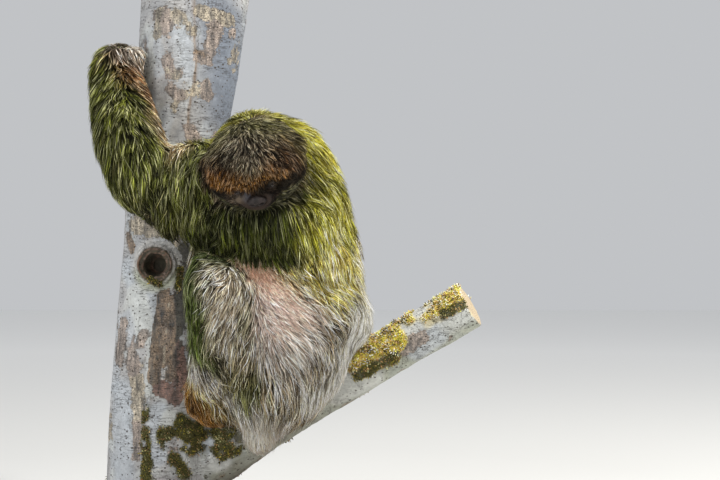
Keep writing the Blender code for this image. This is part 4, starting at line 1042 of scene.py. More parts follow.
barkMarks = [  # tint, from and to (x and z), radius and softness, on the front
    ("rose", (-0.082, 0.640), (-0.066, 0.628), 0.014, 0.7), ("tan", (-0.066, 0.640), (-0.052, 0.622), 0.012, 0.6),
    ("rose", (-0.076, 0.590), (-0.070, 0.575), 0.010, 0.7), ("tan", (-0.086, 0.650), (-0.090, 0.620), 0.006, 0.7),
    ("tan", (-0.034, 0.648), (-0.004, 0.640), 0.009, 0.6), ("rose", (-0.044, 0.592), (-0.030, 0.590), 0.009, 0.8),
    ("brown", (-0.040, 0.600), (-0.030, 0.593), 0.005, 0.8), ("rose", (-0.052, 0.592), (-0.056, 0.576), 0.008, 0.8),
    ("rose", (-0.072, 0.552), (-0.060, 0.545), 0.008, 0.9), ("tan", (-0.074, 0.578), (-0.064, 0.570), 0.007, 0.5),
    ("rose", (-0.030, 0.560), (-0.028, 0.545), 0.007, 0.8), ("blue", (-0.060, 0.620), (-0.050, 0.575), 0.013, 0.8),
    ("dusk", (-0.018, 0.670), (-0.010, 0.530), 0.026, 0.8), ("dusk", (-0.004, 0.640), (0.004, 0.500), 0.020, 0.8),
    ("rose", (-0.016, 0.640), (-0.024, 0.600), 0.009, 0.9), ("rose", (-0.050, 0.505), (-0.040, 0.490), 0.008, 0.9),
    ("tan", (-0.115, 0.385), (-0.085, 0.375), 0.013, 0.8), ("brown", (-0.128, 0.372), (-0.122, 0.352), 0.005, 0.9),
    ("blue", (-0.125, 0.330), (-0.098, 0.285), 0.016, 0.35), ("tan", (-0.112, 0.312), (-0.100, 0.306), 0.006, 0.9),
    ("pale", (-0.115, 0.300), (-0.102, 0.250), 0.013, 0.3), ("rose", (-0.135, 0.262), (-0.138, 0.215), 0.007, 0.9),
    ("rose", (-0.104, 0.250), (-0.112, 0.236), 0.007, 0.9), ("rose", (-0.120, 0.225), (-0.118, 0.205), 0.009, 0.9),
    ("tan", (-0.112, 0.190), (-0.112, 0.150), 0.012, 0.9), ("rose", (-0.112, 0.140), (-0.116, 0.100), 0.009, 0.9),
    ("pale", (-0.094, 0.232), (-0.098, 0.180), 0.006, 0.6), ("blue", (-0.135, 0.180), (-0.130, 0.070), 0.014, 0.4),
    # painted shade: thin dark lines for cracks in the peeled strip, and a dark line down the trunk beside the leg
    ("shade", (-0.066, 0.302), (-0.073, 0.205), 0.0020, 0.9),
    ("shade", (-0.080, 0.296), (-0.090, 0.200), 0.0018, 0.9), ("tan", (-0.074, 0.290), (-0.080, 0.215), 0.0020, 0.9),
    ("dark", (-0.060, 0.240), (-0.064, 0.185), 0.0030, 0.9),
    ("brown", (-0.080, 0.306), (-0.084, 0.270), 0.0075, 0.25),
    ("brown", (-0.084, 0.270), (-0.092, 0.195), 0.0085, 0.25),
    # the shade marks here and on the next line are painted shadow down the trunk beside the leg
    ("brown", (-0.073, 0.290), (-0.070, 0.200), 0.010, 0.4), ("shade", (-0.056, 0.356), (-0.061, 0.262), 0.0078, 0.6),
    ("shade", (-0.062, 0.262), (-0.070, 0.226), 0.0060, 0.8), ("peel", (-0.068, 0.235), (-0.060, 0.190), 0.011, 0.4),
    ("peel", (-0.085, 0.186), (-0.066, 0.172), 0.010, 0.7), ("rim", (-0.074, 0.222), (-0.080, 0.196), 0.0026, 0.9),
    ("blue", (-0.086, 0.154), (-0.088, 0.100), 0.013, 0.25), ("pale", (-0.072, 0.150), (-0.082, 0.120), 0.009, 0.3),
    ("blue", (-0.030, 0.125), (-0.034, 0.095), 0.010, 0.25), ("pale", (-0.060, 0.088), (-0.010, 0.090), 0.012, 0.4),
    ("pale", (0.134, 0.176), (0.176, 0.198), 0.015, 0.25), ("pale", (0.222, 0.262), (0.246, 0.280), 0.013, 0.3),
    ("blue", (0.232, 0.232), (0.256, 0.250), 0.014, 0.3), ("rose", (0.196, 0.222), (0.236, 0.246), 0.010, 0.9),
    ("pale", (0.270, 0.262), (0.298, 0.282), 0.012, 0.5),
]

mossMarks = [  # from and to (x and z) and radius: moss besides that on the branch's upper side
    ((-0.060, 0.330), (-0.062, 0.306), 0.0036), ((-0.098, 0.318), (-0.086, 0.312), 0.0035),
    ((-0.102, 0.160), (-0.101, 0.060), 0.0065), ((-0.078, 0.128), (-0.045, 0.110), 0.013),
    ((-0.058, 0.140), (-0.040, 0.122), 0.012), ((-0.012, 0.112), (0.002, 0.112), 0.014),
    ((-0.066, 0.098), (-0.055, 0.080), 0.009), ((0.140, 0.226), (0.190, 0.256), 0.024),
    ((0.150, 0.216), (0.206, 0.242), 0.014), ((0.264, 0.292), (0.292, 0.306), 0.015),
]

darkMoss = [  # its shaded lower fringe
    ((0.160, 0.200), (0.204, 0.222), 0.0082), ((0.266, 0.277), (0.296, 0.293), 0.0060),
]


def lineGap(places, line):  # how far each place is from a bent line
    return np.min([capsule(places, a, b) for a, b in zip(line, line[1:])], axis=0)


def knotPlace(places):  # distance from the knot's axis, and height along it
    out = np.array(perchPlan["knotOut"])
    rel = places - np.array(perchPlan["knot"])
    along = rel @ out
    return np.linalg.norm(rel - along[:, None] * out, axis=1), along


def sawnHere(p, n):  # 1 on the cut faces: the trunk's top and foot, and the branch's end
    end, before = (np.array(place) for place in perchPlan["branchLine"][:-3:-1])
    way = unit(end - before)
    top = smoothStep(0.75, 0.95, n[:, 2]) * (p[:, 2] > p[:, 2].max() - 0.004)
    foot = smoothStep(0.75, 0.95, -n[:, 2]) * (p[:, 2] < 0.053)
    tip = smoothStep(0.75, 0.95, n @ way) * ((p - end) @ way > -0.012)
    return np.maximum.reduce([top, foot, tip])


def buildPerch():
    ob = objectFrom(gathered(["perch"]), "perch_bark")
    remeshed(ob, perchPlan["voxel"])
    bm = bmesh.new()
    bm.from_mesh(ob.data)
    evened(bm, bm.verts, 2)
    bm.normal_update()
    bm.to_mesh(ob.data)
    p, n = placesOf(ob.data), normalsOf(ob.data)
    flat = p[:, [0, 2]]
    sawn = sawnHere(p, n)
    onBranch = lineGap(p, perchPlan["branchLine"]) + 0.030 < lineGap(p, perchPlan["trunkLine"])
    rho, along = knotPlace(p)
    knotty = (1 - smoothStep(0.028, 0.038, rho)) * (along > -0.035)
    broad, fine, tiny = wander(p * (1, 1, 0.45), 26, 3), wander(p * (1, 1, 0.6), 120, 4), wander(p, 330, 5)
    # the relief: unevenness, a crack, a peeled strip and the knot's rings
    drop = sum(height * field for height, field in zip(perchPlan["relief"], (broad, fine, tiny)))
    front = n[:, 1] < 0.2
    crackWide, crackDeep = perchPlan["crackSize"]
    crack = np.exp(-(lineGap(flat, perchPlan["crack"]) + 0.0012 * fine) ** 2 / crackWide ** 2) * front
    peeled = smoothStep(0.010, 0.013, capsule(p + 0.003 * fine[:, None], *perchPlan["peeled"])) - 1
    drop = drop - crackDeep * crack + perchPlan["peelDepth"] * peeled * front * ~onBranch
    apart, high = perchPlan["knotRings"]
    wave = np.sin(rho / apart * 2 * math.pi + 3.2 * broad + 2.6 * fine)
    rings = high * wave * (rho < 0.031) * knotty
    drop = drop * (1 - sawn) * (1 - 0.5 * knotty) + rings + 0.0008 * fine * knotty
    for v, d in zip(bm.verts, drop):
        v.co += v.normal * d
    finished(bm, ob)
    # the bark's own colour, and over it flakes, whose edges the material roughens
    tint = np.tile(np.array(barkTints["bark"]), (len(p), 1))
    patch = [wander(p * (1, 1, 0.7), s, k) for s, k in ((34, 11), (48, 12), (30, 13), (60, 14))]
    frontHere = smoothStep(0.35, -0.05, n[:, 1])
    mossy = patch[1] + 0.35 * patch[3]

    def lay(name, w):
        nonlocal tint
        w = np.clip(w, 0, 1)[:, None]
        tint = tint * (1 - w) + np.array(barkTints[name]) * w

    def over(name, w):
        nonlocal flakeTint, flake
        flakeTint = np.where((w > flake)[:, None], np.array(barkTints[name]), flakeTint)
        flake = np.maximum(flake, w)
    lay("blue", smoothStep(0.05, 0.30, patch[0]) * 0.6)
    lay("pale", smoothStep(0.20, 0.40, patch[3]) * 0.6)
    lay("dusk", smoothStep(0.0, 0.5, -patch[0]) * 0.25)
    lay("green", onBranch * smoothStep(0.2, -0.5, n[:, 2]) * 0.5)
    flakeTint, flake = tint.copy(), np.zeros(len(p))
    over("rose", smoothStep(0.20, 0.60, patch[1]) * 0.52)
    over("tan", smoothStep(0.25, 0.60, patch[2]) * 0.58)
    over("mossDark", onBranch * smoothStep(-0.60, -0.10, n[:, 2]) * smoothStep(-0.35, 0.15, mossy + 0.3 * fine) * 0.66)
    over("brown", smoothStep(0.2, 0.7, -patch[0]) * smoothStep(0.35, 0.15, p[:, 2]) * (1 - frontHere) * 0.6)
    for name, a, b, radius, soft in barkMarks:
        w = (1 - smoothStep(1 - soft, 1 + soft, capsule(flat, a, b) / radius)) * frontHere
        if name in ("blue", "pale", "dusk"):
            lay(name, w * 0.8)
            flake = flake * (1 - 0.8 * w * (name != "dusk"))
        else:
            over(name, w)
    lay("brown", crack * 0.9)
    flake *= (1 - knotty) * (1 - sawn)
    # the knot: a pale rim, a dark wrinkled wall and the hollow, with painted shade in the troughs of the wall's rings
    # and deep in the hollow, and painted highlights on the rings' crests
    lip = rho + 0.0012 * broad + 0.0012 * fine
    wall = knotty * (lip < 0.0225)
    lay("rim", knotty * smoothStep(0.0215, 0.0240, lip) * (0.70 + 0.30 * wave))
    lay("brown", knotty * smoothStep(0.0240, 0.0215, lip))
    lay("dark", knotty * smoothStep(0.0232, 0.0190, lip) * 0.85)
    # painted shade in the troughs of the rings
    lay("shade", knotty * smoothStep(-0.1, 0.5, -wave) * (lip < 0.030) * (0.35 + 0.6 * (lip < 0.0225)))
    # painted highlights on the rings' crests
    lay("peel", wall * smoothStep(0.45, 0.9, wave) * 0.8)
    lay("rose", wall * smoothStep(0.75, 1.0, wave) * 0.5)
    # painted shade deep in the hollow
    lay("shade", knotty * smoothStep(0.0120, 0.0085, rho) * 0.9)
    low = smoothStep(0.002, -0.016, p[:, 2] - perchPlan["knot"][2])
    lay("green", knotty * smoothStep(0.021, 0.026, rho) * low * 0.6)
    # moss: the branch's upper side, the fork and a few cushions
    moss = smoothStep(0.15, 0.75, n[:, 2] + 0.25 * (n[:, 1] < 0)) * onBranch * smoothStep(-0.10, 0.22, mossy)
    ragged = 1 + 0.45 * broad + 0.40 * fine
    fringe = np.zeros(len(p))
    for mark in mossMarks + darkMoss:
        a, b, radius = mark
        near = (1 - smoothStep(0.85, 1.15, capsule(flat, a, b) / radius * ragged)) * frontHere
        moss = np.maximum(moss, near)
        fringe = np.maximum(fringe, near * (mark in darkMoss))
    moss *= np.maximum(smoothStep(-0.42, -0.20, wander(p, 75, 15) - 0.25 * fine), 0.9 * (p[:, 0] > 0.13))
    behind = smoothStep(0.18, 0.30, patch[0] + 0.3 * fine) * smoothStep(0.17, 0.10, p[:, 2]) * (1 - frontHere)
    moss = np.maximum(moss, behind) * (1 - sawn)
    glow = smoothStep(0.05, 0.17, p[:, 0]) * (1 - fringe)  # brighter moss along the branch, darker at the fork and in the painted shadow along its lower fringe
    mossTint = np.outer(1 - glow, mossTints["fork"][1][0]) + np.outer(glow, barkTints["mossBright"])
    tint = tint * (1 - moss[:, None]) + mossTint * moss[:, None]
    flake *= 1 - moss
    lay("wood", sawn)
    setTint(ob.data, np.clip(tint, 0, 1), "barkTint")
    setTint(ob.data, np.clip(flakeTint, 0, 1), "flakeTint")
    pith = np.where(onBranch, lineGap(p, perchPlan["branchLine"]), lineGap(p, perchPlan["trunkLine"]))
    for name, values in (("moss", moss), ("sawn", sawn), ("pith", pith), ("flake", flake)):
        setValues(ob.data, name, values)
    return ob, moss, glow


perch, mossHere, mossGlow = buildPerch()
print("perch:", len(perch.data.polygons), "faces")


def growMoss():  # short upright tufts where the moss is
    mesh = perch.data
    uvs = unwrapped(perch)
    tris, loops = trianglesOf(mesh)
    p, n = placesOf(mesh), normalsOf(mesh)
    share = areasOf(p, tris) * np.where(mossHere[tris].mean(1) > 0.45, 1 + 0.7 * mossGlow[tris].mean(1), 0)
    many = np.floor(share / share.sum() * perchPlan["mossTufts"] + draw.random(len(share))).astype(int)
    many[share == 0] = 0
    pick = np.repeat(np.arange(len(tris)), many)
    count = len(pick)
    w = draw.dirichlet((1, 1, 1), count)
    root = (p[tris[pick]] * w[..., None]).sum(1)
    up = unit((n[tris[pick]] * w[..., None]).sum(1))
    uv = (uvs[loops[pick]] * w[..., None]).sum(1)
    bright = (mossGlow[tris[pick]] * w).sum(1) > draw.uniform(0.2, 0.8, count)
    tint = np.zeros((count, 3))
    for where, kind in ((bright, "branch"), (~bright, "fork")):  # the same tints gather in clumps
        colours, shares = zip(*mossTints[kind])
        clumped = np.clip(0.20 + 0.62 * draw.random(count) + 0.55 * wander(root, 110, 16), 0, 0.999)
        which = np.minimum(np.searchsorted(np.cumsum(shares), clumped), len(colours) - 1)
        tint[where] = np.array(colours)[which][where]
    way = unit(up + draw.normal(0, 0.55, up.shape))
    cushion = 1 + 0.6 * wander(root, 90, 17)[:, None]
    long = draw.uniform(*perchPlan["mossLength"], count)[:, None] * cushion
    course = [root - up * 0.0004, root + way * long * 0.55, root + way * long - np.array([0, 0, 0.0004])]
    shade = np.exp(draw.normal(0.0, 0.34, count) + 1.5 * wander(root, 150, 18))[:, None]
    wide = draw.uniform(*perchPlan["mossWidth"], count)
    return makeTufts("moss", course, [up, up, up], wide, tint * shade, uv, np.ones(count))


# claws, eyes and nose

clawPlan = {"levels": 2, "colours": ((0.33, 0.25, 0.15), (0.56, 0.47, 0.32))}
eyePlan = {"bulge": 0.0006, "colours": ((0.006, 0.004, 0.003), (0.040, 0.020, 0.010))}
nosePlan = {
    "size": (0.0112, 0.0064, 0.0074, 0.0062),  # half width, half depth, height above and below the middle, in metres
    "nostril": 0.0040,  # how deep it is
    "colours": ((0.009, 0.006, 0.005), (0.034, 0.022, 0.019)),
}


def buildClaws():
    made = []
    for limb in ("hand_left", "hand_right", "foot_left", "foot_right"):
        names = [f"claw_{limb}_{k}" for k in (1, 2, 3)]
        ob = objectFrom(gathered(names), "claws_" + limb)
        for face in ob.data.polygons:
            face.use_smooth = True
        change = ob.modifiers.new("round", "SUBSURF")
        change.levels = change.render_levels = clawPlan["levels"]
        settled(ob)
        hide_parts(*names)
        made.append(ob)
    return made


def buildEye(side, name):
    centre, out = eyeAt(side)
    bm = bmesh.new()
    bmesh.ops.create_uvsphere(bm, u_segments=32, v_segments=20, radius=headPlan["eyeRadius"])
    turn = out.to_track_quat("Z", "Y").to_matrix().to_4x4()
    for v in bm.verts:  # the clear front stands a little proud
        if v.co.z > 0:
            v.co.z += eyePlan["bulge"] * math.exp(-(math.hypot(v.co.x, v.co.y) / 0.0026) ** 2)
    for f in bm.faces:
        f.smooth = True
    bmesh.ops.transform(bm, matrix=headTurn @ Matrix.Translation(centre) @ turn, verts=bm.verts)
    ob = objectFrom(bm, name + "_ball")
    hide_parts(name)
    return ob


def buildNose():
    bm = bmesh.new()
    bmesh.ops.create_uvsphere(bm, u_segments=64, v_segments=40, radius=1)
    wide, deep, above, below = nosePlan["size"]
    for v in bm.verts:
        d = v.co.copy()
        v.co = Vector((d.x * wide, d.y * deep, d.z * (above if d.z > 0 else below)))
        v.co.x *= 1 - 0.18 * max(d.z, 0)
        for side in (-1, 1):  # nostrils look forward and a little outward
            gap = math.hypot(d.x - side * 0.46, (d.z + 0.10) * (1.25 if d.z < -0.10 else 1.0))
            if d.y < 0:
                v.co.y += nosePlan["nostril"] * math.exp(-(gap / 0.20) ** 2)
                v.co.y -= 0.0007 * math.exp(-((gap - 0.36) / 0.12) ** 2)  # its rim
        if d.y < 0:  # the groove between them
            v.co.y += 0.0009 * math.exp(-(d.x / 0.07) ** 2) * (d.z < 0.5)
        v.co += Vector(headPlan["nose"])
        v.co.y += noise.noise(v.co * 900) * 0.00015
    for f in bm.faces:
        f.smooth = True
    bmesh.ops.transform(bm, matrix=headTurn, verts=bm.verts)
    ob = objectFrom(bm, "nose_leather")
    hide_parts("nose")
    return ob


# what the tufts take from the skin under them, then the coat region by region

bakeMap = unwrapped(skin)
triVerts, triLoops = trianglesOf(skin.data)
places, normals, edges = placesOf(skin.data), normalsOf(skin.data), edgesOf(skin.data)
skinTree = BVHTree.FromPolygons([Vector(p) for p in places], triVerts.tolist())
faceLie = unit(lie[triVerts].sum(1))
density = byOwner(owners, coatPlan["density"], 1.0) * (1 - bareness(local, owners))
widths = relaxed(byOwner(owners, coatPlan["widths"], 1.0), edges, 8) * style[:, 4]
hidden = relaxed(smoothStep(0.25, 0.75, normals[:, 1]), edges, 4)
density *= 1 - (1 - coatPlan["unseen"]) * hidden
widths *= 1 + coatPlan["unseenWider"] * hidden
density /= np.maximum(style[:, 3] * style[:, 4], 0.35)  # shorter, finer hair grows closer
hanging = relaxed(byOwner(owners, coatPlan["hang"], 0.0), edges, 10)
coatHeight = relaxed(coatDepthAt(owners, local), edges, 8)
headTop = (local[:, 1] > -0.010) | ((local[:, 2] > 0.030) & (local[:, 1] > -0.034))
back = np.where(onHead(owners), headTop, normals[:, 1] > 0.12)
regions = np.array([regionOf(n, b) for n, b in zip(owners, back)])
triRegion = regions[triVerts[:, 0]]
triShare = areasOf(places, triVerts) * density[triVerts].mean(1)
perchTree = BVHTree.FromPolygons([v.co.copy() for v in perch.data.vertices],
                                 [list(p.vertices) for p in perch.data.polygons])
coats = []
for region in sorted(set(triRegion)):
    mine = np.nonzero(triRegion == region)[0]
    share = triShare[mine].sum() / triShare.sum()
    most = coatPlan["most"][region in coatPlan["short"]]
    coats.append(growRegion(region, mine, min(most, share * coatPlan["tufts"])))
print("coat grown")

# painted shade: the undercoat on the skin is darker than the tips over it, for the shade of the hair over it; bare skin
# keeps its colour
bare = bareness(local, owners)[:, None]
under = coatPlan["underShade"] ** np.clip(style[:, 5:], 0, 1)
setTint(skin.data, skinTints * (under * (1 - bare) + bare))
setValues(skin.data, "bare", bare[:, 0])

moss = growMoss()
claws = buildClaws()
eyes = [buildEye(-1, "eye_right"), buildEye(1, "eye_left")]
nose = buildNose()
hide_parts("perch")
print("moss, claws, eyes and nose made")


# materials

finishes = {  # one colour, or a dark and a light one
    "crack": (0.050, 0.036, 0.024),
    "board": ((0.050, 0.024, 0.012), (0.190, 0.100, 0.052)),
    "steel": (0.56, 0.56, 0.57),
}


def material(name, base=None, roughness=0.6):
    mat = bpy.data.materials.new(name)
    mat.use_nodes = True
    shader = mat.node_tree.nodes["Principled BSDF"]
    shader.inputs["Roughness"].default_value = roughness
    if base:
        shader.inputs["Base Color"].default_value = (*base, 1)
    return mat, mat.node_tree, shader


def addNode(tree, kind, **choices):
    node = tree.nodes.new("ShaderNode" + kind)
    for key, value in choices.items():
        setattr(node, key, value)
    return node


def setInputs(node, values):
    for key, value in values.items():
        node.inputs[key].default_value = value


def scaled(tree, colour, factor):  # a colour made lighter or darker by a factor
    mix = addNode(tree, "VectorMath", operation="SCALE")
    tree.links.new(colour, mix.inputs[0])
    tree.links.new(factor, mix.inputs["Scale"])
    return mix.outputs["Vector"]


def spread(tree, value, low, high, fromLow=0.0, fromHigh=1.0):  # a value moved to another range
    node = addNode(tree, "MapRange")
    setInputs(node, {"From Min": fromLow, "From Max": fromHigh, "To Min": low, "To Max": high})
    tree.links.new(value, node.inputs["Value"])
    return node.outputs["Result"]


def mathOf(tree, operation, a, b=0):
    node = addNode(tree, "Math", operation=operation)
    for socket, value in zip(node.inputs, (a, b)):
        if isinstance(value, (int, float)):
            socket.default_value = value
        else:
            tree.links.new(value, socket)
    return node.outputs[0]


def times(tree, first, *others):
    for other in others:
        first = mathOf(tree, "MULTIPLY", first, other)
    return first


def plus(tree, a, b):
    return mathOf(tree, "ADD", a, b)


def offFrom(tree, value, middle):  # how far a value is from a middle one
    return mathOf(tree, "ABSOLUTE", mathOf(tree, "SUBTRACT", value, middle))


def ownPlace(tree):
    return addNode(tree, "TexCoord").outputs["Object"]


def noiseOf(tree, scale, detail=3, rough=0.6, stretch=(1, 1, 1)):
    mapping = addNode(tree, "Mapping")
    mapping.inputs["Scale"].default_value = stretch
    tree.links.new(ownPlace(tree), mapping.inputs["Vector"])
    node = addNode(tree, "TexNoise")
    setInputs(node, {"Scale": scale, "Detail": detail, "Roughness": rough})
    tree.links.new(mapping.outputs["Vector"], node.inputs["Vector"])
    return node.outputs["Fac"]


def cellsOf(tree, scale):  # how far the edge of a small cell is
    node = addNode(tree, "TexVoronoi", feature="DISTANCE_TO_EDGE")
    node.inputs["Scale"].default_value = scale
    tree.links.new(ownPlace(tree), node.inputs["Vector"])
    return node.outputs["Distance"]


def ramped(tree, value, colours, low=0.0, high=1.0):  # from a dark colour to a light one
    ramp = addNode(tree, "ValToRGB")
    for stop, place, colour in zip(ramp.color_ramp.elements, (low, high), colours):
        stop.position, stop.color = place, (*colour, 1)
    tree.links.new(value, ramp.inputs["Fac"])
    return ramp.outputs["Color"]


def bumped(tree, shader, height, strength, distance=0.001):
    node = addNode(tree, "Bump")
    setInputs(node, {"Strength": strength, "Distance": distance})
    tree.links.new(height, node.inputs["Height"])
    tree.links.new(node.outputs["Normal"], shader.inputs["Normal"])


def tintOf(tree, name, output="Color"):
    node = addNode(tree, "Attribute")
    node.attribute_name = name
    return node.outputs[output]


def mixed(tree, factor, first, second):  # one colour over another
    node = addNode(tree, "Mix", data_type="RGBA")
    tree.links.new(factor, node.inputs[0])
    for k, colour in ((6, first), (7, second)):
        if isinstance(colour, tuple):
            node.inputs[k].default_value = (*colour, 1)
        else:
            tree.links.new(colour, node.inputs[k])
    return node.outputs[2]


def blended(tree, factor, first, second):  # one value over another
    node = addNode(tree, "Mix", data_type="FLOAT")
    for k, value in enumerate((factor, first, second)):
        tree.links.new(value, node.inputs[(0, 2, 3)[k]])
    return node.outputs[0]


def pores(tree, scale, largest, share):  # small dark dots
    squash = addNode(tree, "Mapping")
    squash.inputs["Scale"].default_value = (1, 1, 1.3)
    spots = addNode(tree, "TexVoronoi", feature="F1")
    spots.inputs["Scale"].default_value = scale
    tree.links.new(ownPlace(tree), squash.inputs["Vector"])
    tree.links.new(squash.outputs["Vector"], spots.inputs["Vector"])
    apart = addNode(tree, "SeparateColor")
    tree.links.new(spots.outputs["Color"], apart.inputs["Color"])
    size = spread(tree, apart.outputs[0], 0.06, largest)
    depth = mathOf(tree, "SUBTRACT", size, spots.outputs["Distance"])
    return times(tree, spread(tree, depth, 0, 1, 0.0, 0.07), mathOf(tree, "GREATER_THAN", apart.outputs[1], 1 - share))


def coatMaterial():
    mat, tree, shader = material("sloth_coat", roughness=0.62)
    uneven = spread(tree, noiseOf(tree, 420, 2, 0.5), 0.72, 1.28)
    tree.links.new(scaled(tree, tintOf(tree, "coatTint"), uneven), shader.inputs["Base Color"])
    shader.inputs["Specular IOR Level"].default_value = 0.12
    return mat


# the skin's colour carries painted shade from the coat over it
def skinMaterial():  # matted underfur, and smooth dark skin with fine lines where it is bare
    mat, tree, shader = material("sloth_skin", roughness=0.6)
    bare = tintOf(tree, "bare", "Fac")
    matted, mottled = noiseOf(tree, 420, 4, 0.7, (1, 1, 0.4)), noiseOf(tree, 240, 4, 0.6)
    shade = blended(tree, bare, spread(tree, matted, 0.55, 1.45), spread(tree, mottled, 0.70, 1.35))
    tree.links.new(scaled(tree, tintOf(tree, "coatTint"), shade), shader.inputs["Base Color"])
    tree.links.new(spread(tree, bare, 0.75, 0.46), shader.inputs["Roughness"])
    shader.inputs["Specular IOR Level"].default_value = 0.22
    lined = spread(tree, cellsOf(tree, 900), 0, 0.5, 0, 0.15)
    bumped(tree, shader, blended(tree, bare, matted, lined), 0.45, 0.0005)
    return mat


def barkMaterial():
    mat, tree, shader = material("pale_bark", roughness=0.78)
    sawn, pith, moss, flake = (tintOf(tree, name, "Fac") for name in ("sawn", "pith", "moss", "flake"))
    grain = noiseOf(tree, 260, 5, 0.7)
    colour = scaled(tree, tintOf(tree, "barkTint"), spread(tree, noiseOf(tree, 70, 5, 0.66), 0.55, 1.45))
    # flakes, with ragged sharp edges that show a dark rim
    ragged = mathOf(tree, "SUBTRACT", noiseOf(tree, 95, 6, 0.68), 0.5)
    edge = plus(tree, flake, times(tree, ragged, 2.2))
    on = spread(tree, edge, 0, 1, 0.46, 0.54)
    rim = spread(tree, offFrom(tree, edge, 0.44), 1, 0, 0.0, 0.05)
    furrow = noiseOf(tree, 170, 4, 0.62, (1, 1, 0.22))
    flaked = scaled(tree, tintOf(tree, "flakeTint"), spread(tree, noiseOf(tree, 150, 4, 0.7), 0.25, 1.85))
    flaked = scaled(tree, flaked, spread(tree, cellsOf(tree, 330), 0.45, 1.15, 0.0, 0.16))
    flaked = scaled(tree, flaked, spread(tree, furrow, 0.12, 1.60, 0.32, 0.68))
    colour = mixed(tree, times(tree, on, 0.84), colour, flaked)
    # pores, and fine cracks that run round the trunk or wander over it
    spot = mathOf(tree, "MAXIMUM", pores(tree, 210, 0.34, 0.80), pores(tree, 120, 0.26, 0.7))
    rings = offFrom(tree, noiseOf(tree, 34, 4, 0.62, (1, 1, 8)), 0.5)
    around = times(tree, spread(tree, rings, 1, 0, 0.0, 0.022), spread(tree, noiseOf(tree, 22, 2), 0, 1, 0.42, 0.58))
    winding = offFrom(tree, noiseOf(tree, 42, 5, 0.60, (1, 1, 0.5)), 0.5)
    veins = times(tree, spread(tree, winding, 1, 0, 0.0, 0.012), spread(tree, noiseOf(tree, 17, 2), 0, 1, 0.46, 0.56))
    crack = mathOf(tree, "MAXIMUM", around, veins)
    bark = mathOf(tree, "SUBTRACT", 1.0, mathOf(tree, "MAXIMUM", sawn, moss))
    for what, strength in ((spot, 0.86), (crack, 0.62), (times(tree, rim, flake), 0.8)):
        colour = mixed(tree, times(tree, what, strength, bark), colour, finishes["crack"])
    colour = scaled(tree, colour, spread(tree, grain, 0.62, 1.38))
    # bare wood has growth rings instead
    wobble = times(tree, noiseOf(tree, 40, 2), 0.004)
    wave = mathOf(tree, "SINE", times(tree, plus(tree, pith, wobble), 2100.0))
    woody = scaled(tree, tintOf(tree, "barkTint"), spread(tree, wave, 0.72, 1.1, -1, 1))
    tree.links.new(mixed(tree, sawn, colour, woody), shader.inputs["Base Color"])
    raised = plus(tree, times(tree, grain, 0.7), times(tree, on, times(tree, furrow, 0.7)))
    sunk = plus(tree, times(tree, spot, 0.6), times(tree, crack, 0.7))
    bumped(tree, shader, mathOf(tree, "SUBTRACT", raised, sunk), 0.75, 0.0012)
    return mat


def mossMaterial():
    mat, tree, shader = material("moss_green", roughness=0.85)
    uneven = spread(tree, noiseOf(tree, 500, 2), 0.6, 1.4)
    tree.links.new(scaled(tree, tintOf(tree, "coatTint"), uneven), shader.inputs["Base Color"])
    return mat


def hornMaterial():
    mat, tree, shader = material("claw_horn", roughness=0.38)
    streaked = ramped(tree, noiseOf(tree, 90, 4, 0.7), clawPlan["colours"], 0.3, 0.72)
    tree.links.new(streaked, shader.inputs["Base Color"])
    bumped(tree, shader, noiseOf(tree, 700, 3), 0.35, 0.0004)
    return mat


def eyeMaterial():
    mat, tree, shader = material("dark_eye", roughness=0.06)
    tree.links.new(ramped(tree, noiseOf(tree, 700, 3), eyePlan["colours"]), shader.inputs["Base Color"])
    setInputs(shader, {"Coat Weight": 0.8, "Coat Roughness": 0.03})
    return mat


def leatherMaterial():
    mat, tree, shader = material("nose_leather", roughness=0.42)
    mottled = ramped(tree, noiseOf(tree, 260, 3), nosePlan["colours"], 0.35, 0.7)
    tree.links.new(mottled, shader.inputs["Base Color"])
    shader.inputs["Specular IOR Level"].default_value = 0.3
    bumped(tree, shader, spread(tree, cellsOf(tree, 1300), 0, 1, 0, 0.12), 0.5, 0.0002)
    return mat


def woodMaterial():
    mat, tree, shader = material("stained_board", roughness=0.42)
    broad = times(tree, noiseOf(tree, 9, 5, 0.62, (1, 14, 14)), 0.65)
    grain = plus(tree, broad, times(tree, noiseOf(tree, 40, 4, 0.7, (1, 26, 26)), 0.35))
    tree.links.new(ramped(tree, grain, finishes["board"], 0.36, 0.66), shader.inputs["Base Color"])
    bumped(tree, shader, grain, 0.25, 0.0005)
    return mat


def steelMaterial():
    mat, tree, shader = material("turned_steel", finishes["steel"], 0.28)
    shader.inputs["Metallic"].default_value = 1
    lines = noiseOf(tree, 60, 3, 0.6, (1, 1, 40))
    tree.links.new(spread(tree, lines, 0.18, 0.42), shader.inputs["Roughness"])
    bumped(tree, shader, lines, 0.12, 0.0002)
    return mat


def dress(ob, mat):
    ob.data.materials.clear()
    ob.data.materials.append(mat)


for pieces, mat in (
    (coats, coatMaterial()), ([skin], skinMaterial()), ([perch], barkMaterial()), ([moss], mossMaterial()),
    (claws, hornMaterial()), (eyes, eyeMaterial()), ([nose], leatherMaterial()),
    ([nodes["stand_base"]], woodMaterial()), ([nodes["stand_rod_1"], nodes["stand_rod_2"]], steelMaterial()),
):
    for ob in pieces:
        dress(ob, mat)
for ob in [perch, moss, nose] + claws + eyes:
    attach(ob, "root")

for ob in coats:
    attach(ob, "root")
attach(skin, "root")
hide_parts(*fleshNodes)


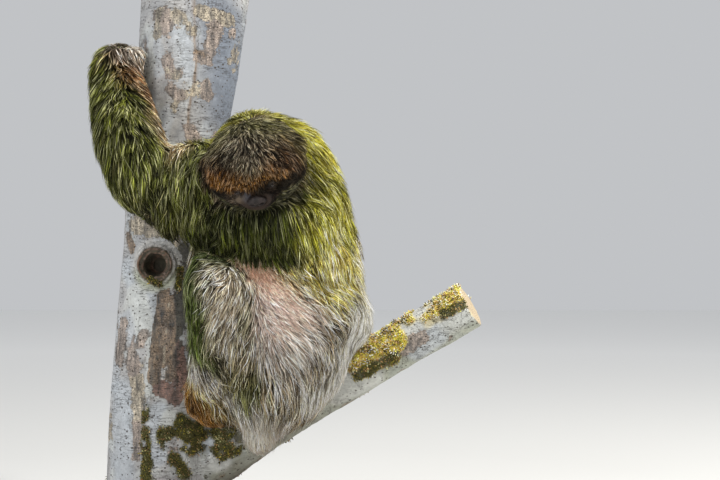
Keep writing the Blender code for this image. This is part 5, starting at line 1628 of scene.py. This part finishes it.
# the room, the lights and the camera

roomPlan = {
    "floor": ((0.70, 0.70, 0.69), (0.93, 0.93, 0.92)),  # beside the tree, and far from it
    "floorFade": (0.8, 3.2),  # metres from the tree
    "air": (0.89, 0.91, 0.94),
    "airStrength": 0.60,
    "aim": (0.03, -0.05, 0.35),
    "lamps": {  # place, size, power and tint
        "key": ((1.25, -0.75, 2.2), 0.6, 72, (1, 0.97, 0.90)),
        "fill": ((-1.6, -1.8, 1.0), 1.6, 21, (0.96, 0.98, 1)),
    },
    "camera": (0.162, -1.85, 0.3664),
    "lens": 75,
    "sensor": 36,
}


def room():
    bm = bmesh.new()
    bmesh.ops.create_grid(bm, x_segments=1, y_segments=1, size=6)
    ob = objectFrom(bm, "floor")
    mat, tree, shader = material("pale_floor", roughness=0.9)
    far = addNode(tree, "VectorMath", operation="LENGTH")
    tree.links.new(ownPlace(tree), far.inputs[0])
    pale = spread(tree, far.outputs["Value"], 0, 1, *roomPlan["floorFade"])
    tree.links.new(mixed(tree, pale, *roomPlan["floor"]), shader.inputs["Base Color"])
    ob.data.materials.append(mat)
    world = bpy.data.worlds.new("soft")
    world.use_nodes = True
    air = {"Color": (*roomPlan["air"], 1), "Strength": roomPlan["airStrength"]}
    setInputs(world.node_tree.nodes["Background"], air)
    scene.world = world


def lamp(name, place, size, power, tint):
    light = bpy.data.lights.new(name, "AREA")
    light.size, light.energy, light.color = size, power, tint
    ob = bpy.data.objects.new(name, light)
    ob.location = place
    ob.rotation_euler = (Vector(roomPlan["aim"]) - Vector(place)).to_track_quat("-Z", "Y").to_euler()
    scene.collection.objects.link(ob)


room()
for name, values in roomPlan["lamps"].items():
    lamp(name, *values)

lens = bpy.data.cameras.new("camera")
lens.lens, lens.sensor_width = roomPlan["lens"], roomPlan["sensor"]
camera = bpy.data.objects.new("camera", lens)
camera.location = roomPlan["camera"]
camera.rotation_euler = (math.radians(90), 0, 0)
scene.collection.objects.link(camera)
scene.camera = camera
scene.view_settings.view_transform = "Standard"
